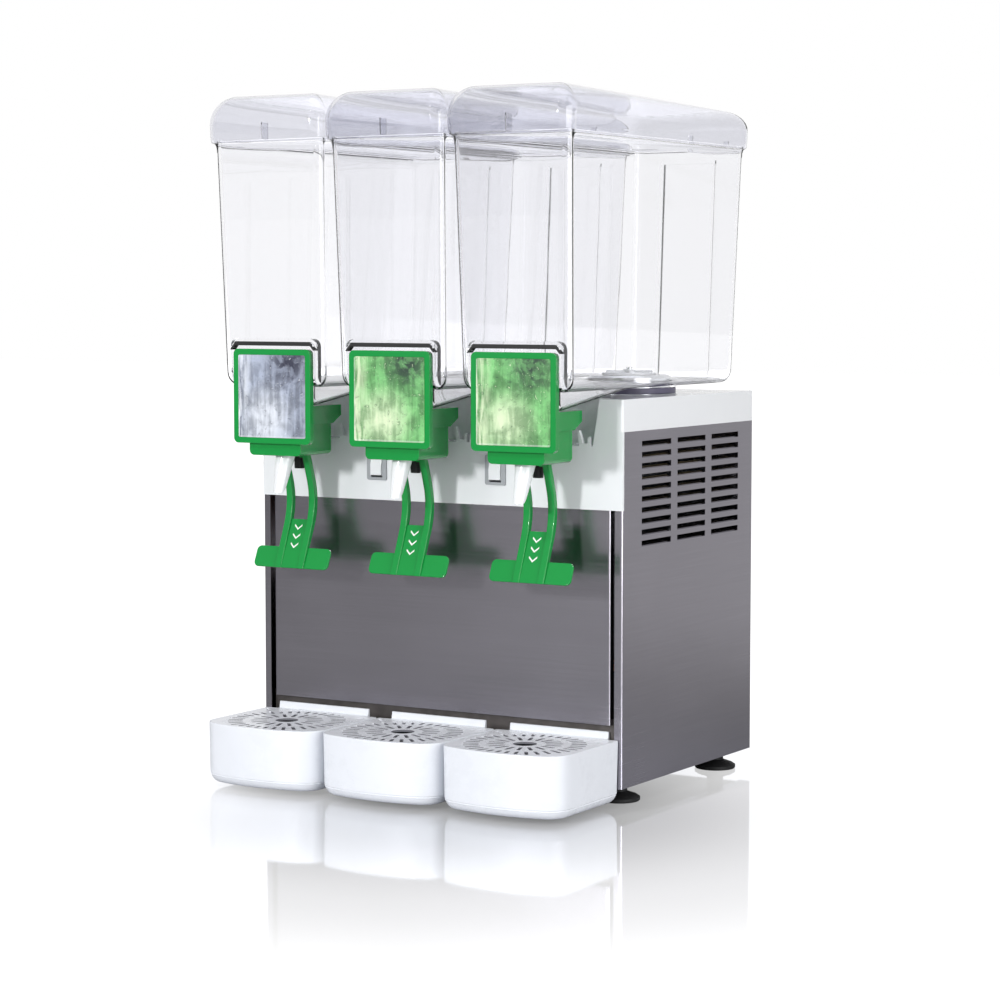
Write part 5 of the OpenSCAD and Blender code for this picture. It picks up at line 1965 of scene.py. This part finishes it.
@dataclass
class Studio:
    """Pale glossy floor, white backdrop, soft lights and the camera."""

    AIM = (0.0, 0.0, 0.33)
    LAMPS = (
        ("key", (-0.4, -2.4, 0.9), (0.22, 0.22), 30.0),
        ("upper", (-0.35, -1.9, 2.1), (0.2, 0.2), 8.0),
        ("top", (0.1, -0.2, 2.0), (1.4, 1.4), 4.5),
        ("right", (2.0, -0.73, 0.7), (1.6, 1.4), 25.0),
    )
    GLOSS_FADE = (0.1, 1.2)
    THROUGH_FADE = (-0.55, 0.45)
    COOLNESS = 1.04

    camera_place: Triple = (1.3587, -2.2208, 0.4702)
    azimuth: float = 31.0
    elevation: float = 4.414
    lens: float = 97.145
    sensor: float = 36.0
    far: float = 100.0
    floor_half: float = 12.0
    world_light: float = 0.5
    dim: float = 0.32
    dim_through: float = 0.55

    def floor(self) -> Thing:
        """Wide level floor under the object.

        Returns:
            The floor.
        """
        form = bmesh.new()
        bmesh.ops.create_grid(form, x_segments=1, y_segments=1, size=self.floor_half)
        floor = linked("floor", mesh_of(form, "floor"))
        floor.data.materials.append(StudioFloor("studio_floor", "stage").material())
        return floor

    def world(self) -> None:
        """White backdrop for the eye, a room that darkens behind the camera for gloss and glass."""
        world = bpy.data.worlds.new("studio")
        bpy.context.scene.world = world
        world.use_nodes = True
        sheet = Sheet(world.node_tree)
        x, y, _ = sheet.parts(sheet.add("ShaderNodeTexCoord", out="Generated"))
        turn = math.radians(self.azimuth)
        facing = y * math.cos(turn) - x * math.sin(turn)
        dusk, haze = ((level, level, level * self.COOLNESS) for level in (self.dim, self.dim_through))
        shine = sheet.mix(facing.step(*self.GLOSS_FADE), dusk, PURE_WHITE)
        view = sheet.mix(facing.step(*self.THROUGH_FADE), haze, PURE_WHITE)
        colour = sheet.mix(sheet.ray("Glossy"), (self.world_light,) * 3, shine)
        colour = sheet.mix(sheet.ray("Transmission"), colour, view)
        colour = sheet.mix(sheet.ray("Camera"), colour, PURE_WHITE)
        shader = sheet.add("ShaderNodeBackground", {}, {"Color": colour, "Strength": 1.0})
        sheet.add("ShaderNodeOutputWorld", {}, {"Surface": shader})

    def lamp(self, name: str, place: Triple, size: tuple[float, float], power: float) -> None:
        """Adds a soft lamp that looks at the object.

        Args:
            name: Name of the lamp.
            place: Its place in metres.
            size: Its width and height.
            power: Its power in watts.
        """
        light = bpy.data.lights.new(name, "AREA")
        light.shape = "RECTANGLE"
        light.size, light.size_y = size
        light.energy = power
        lamp = bpy.data.objects.new(name, light)
        lamp.location = place
        lamp.rotation_mode = "QUATERNION"
        lamp.rotation_quaternion = (Vector(self.AIM) - Vector(place)).to_track_quat("-Z", "Y")
        bpy.context.scene.collection.objects.link(lamp)

    def camera(self) -> None:
        """Adds the camera at the photograph's viewing angle."""
        view = bpy.data.cameras.new("view")
        view.lens = self.lens
        view.sensor_width = self.sensor
        view.clip_end = self.far
        camera = bpy.data.objects.new("view", view)
        turn, lift = math.radians(self.azimuth), math.radians(self.elevation)
        level = math.cos(lift)
        back = Vector((math.sin(turn) * level, -math.cos(turn) * level, math.sin(lift)))
        camera.location = self.camera_place
        camera.rotation_mode = "QUATERNION"
        camera.rotation_quaternion = (-back).to_track_quat("-Z", "Y")
        bpy.context.scene.collection.objects.link(camera)
        bpy.context.scene.camera = camera

    def build(self) -> None:
        """Builds the studio."""
        self.floor()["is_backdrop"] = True
        self.world()
        for name, place, size, power in self.LAMPS:
            self.lamp(name, place, size, power)
        self.camera()
        bpy.context.scene.view_settings.view_transform = "Standard"


def corners(box: Sequence[Vector]) -> list[list[float]]:
    """Two corners of a box as plain lists."""
    return [[float(value) for value in corner] for corner in box]


def main() -> None:
    """Builds the dispenser and its studio."""
    logging.basicConfig(level=logging.INFO, format="%(name)s: %(message)s")
    cad_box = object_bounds()
    spread = Spread()
    Cabinet().build(spread)
    Deck().build()
    CoolingUnit().build()
    Bowl().build()
    Lid().build()
    Tap().build()
    Tray().build()
    Studio().build()
    {"cad": corners(cad_box), "visual": corners(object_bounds())}


if __name__ == "__main__":
    main()
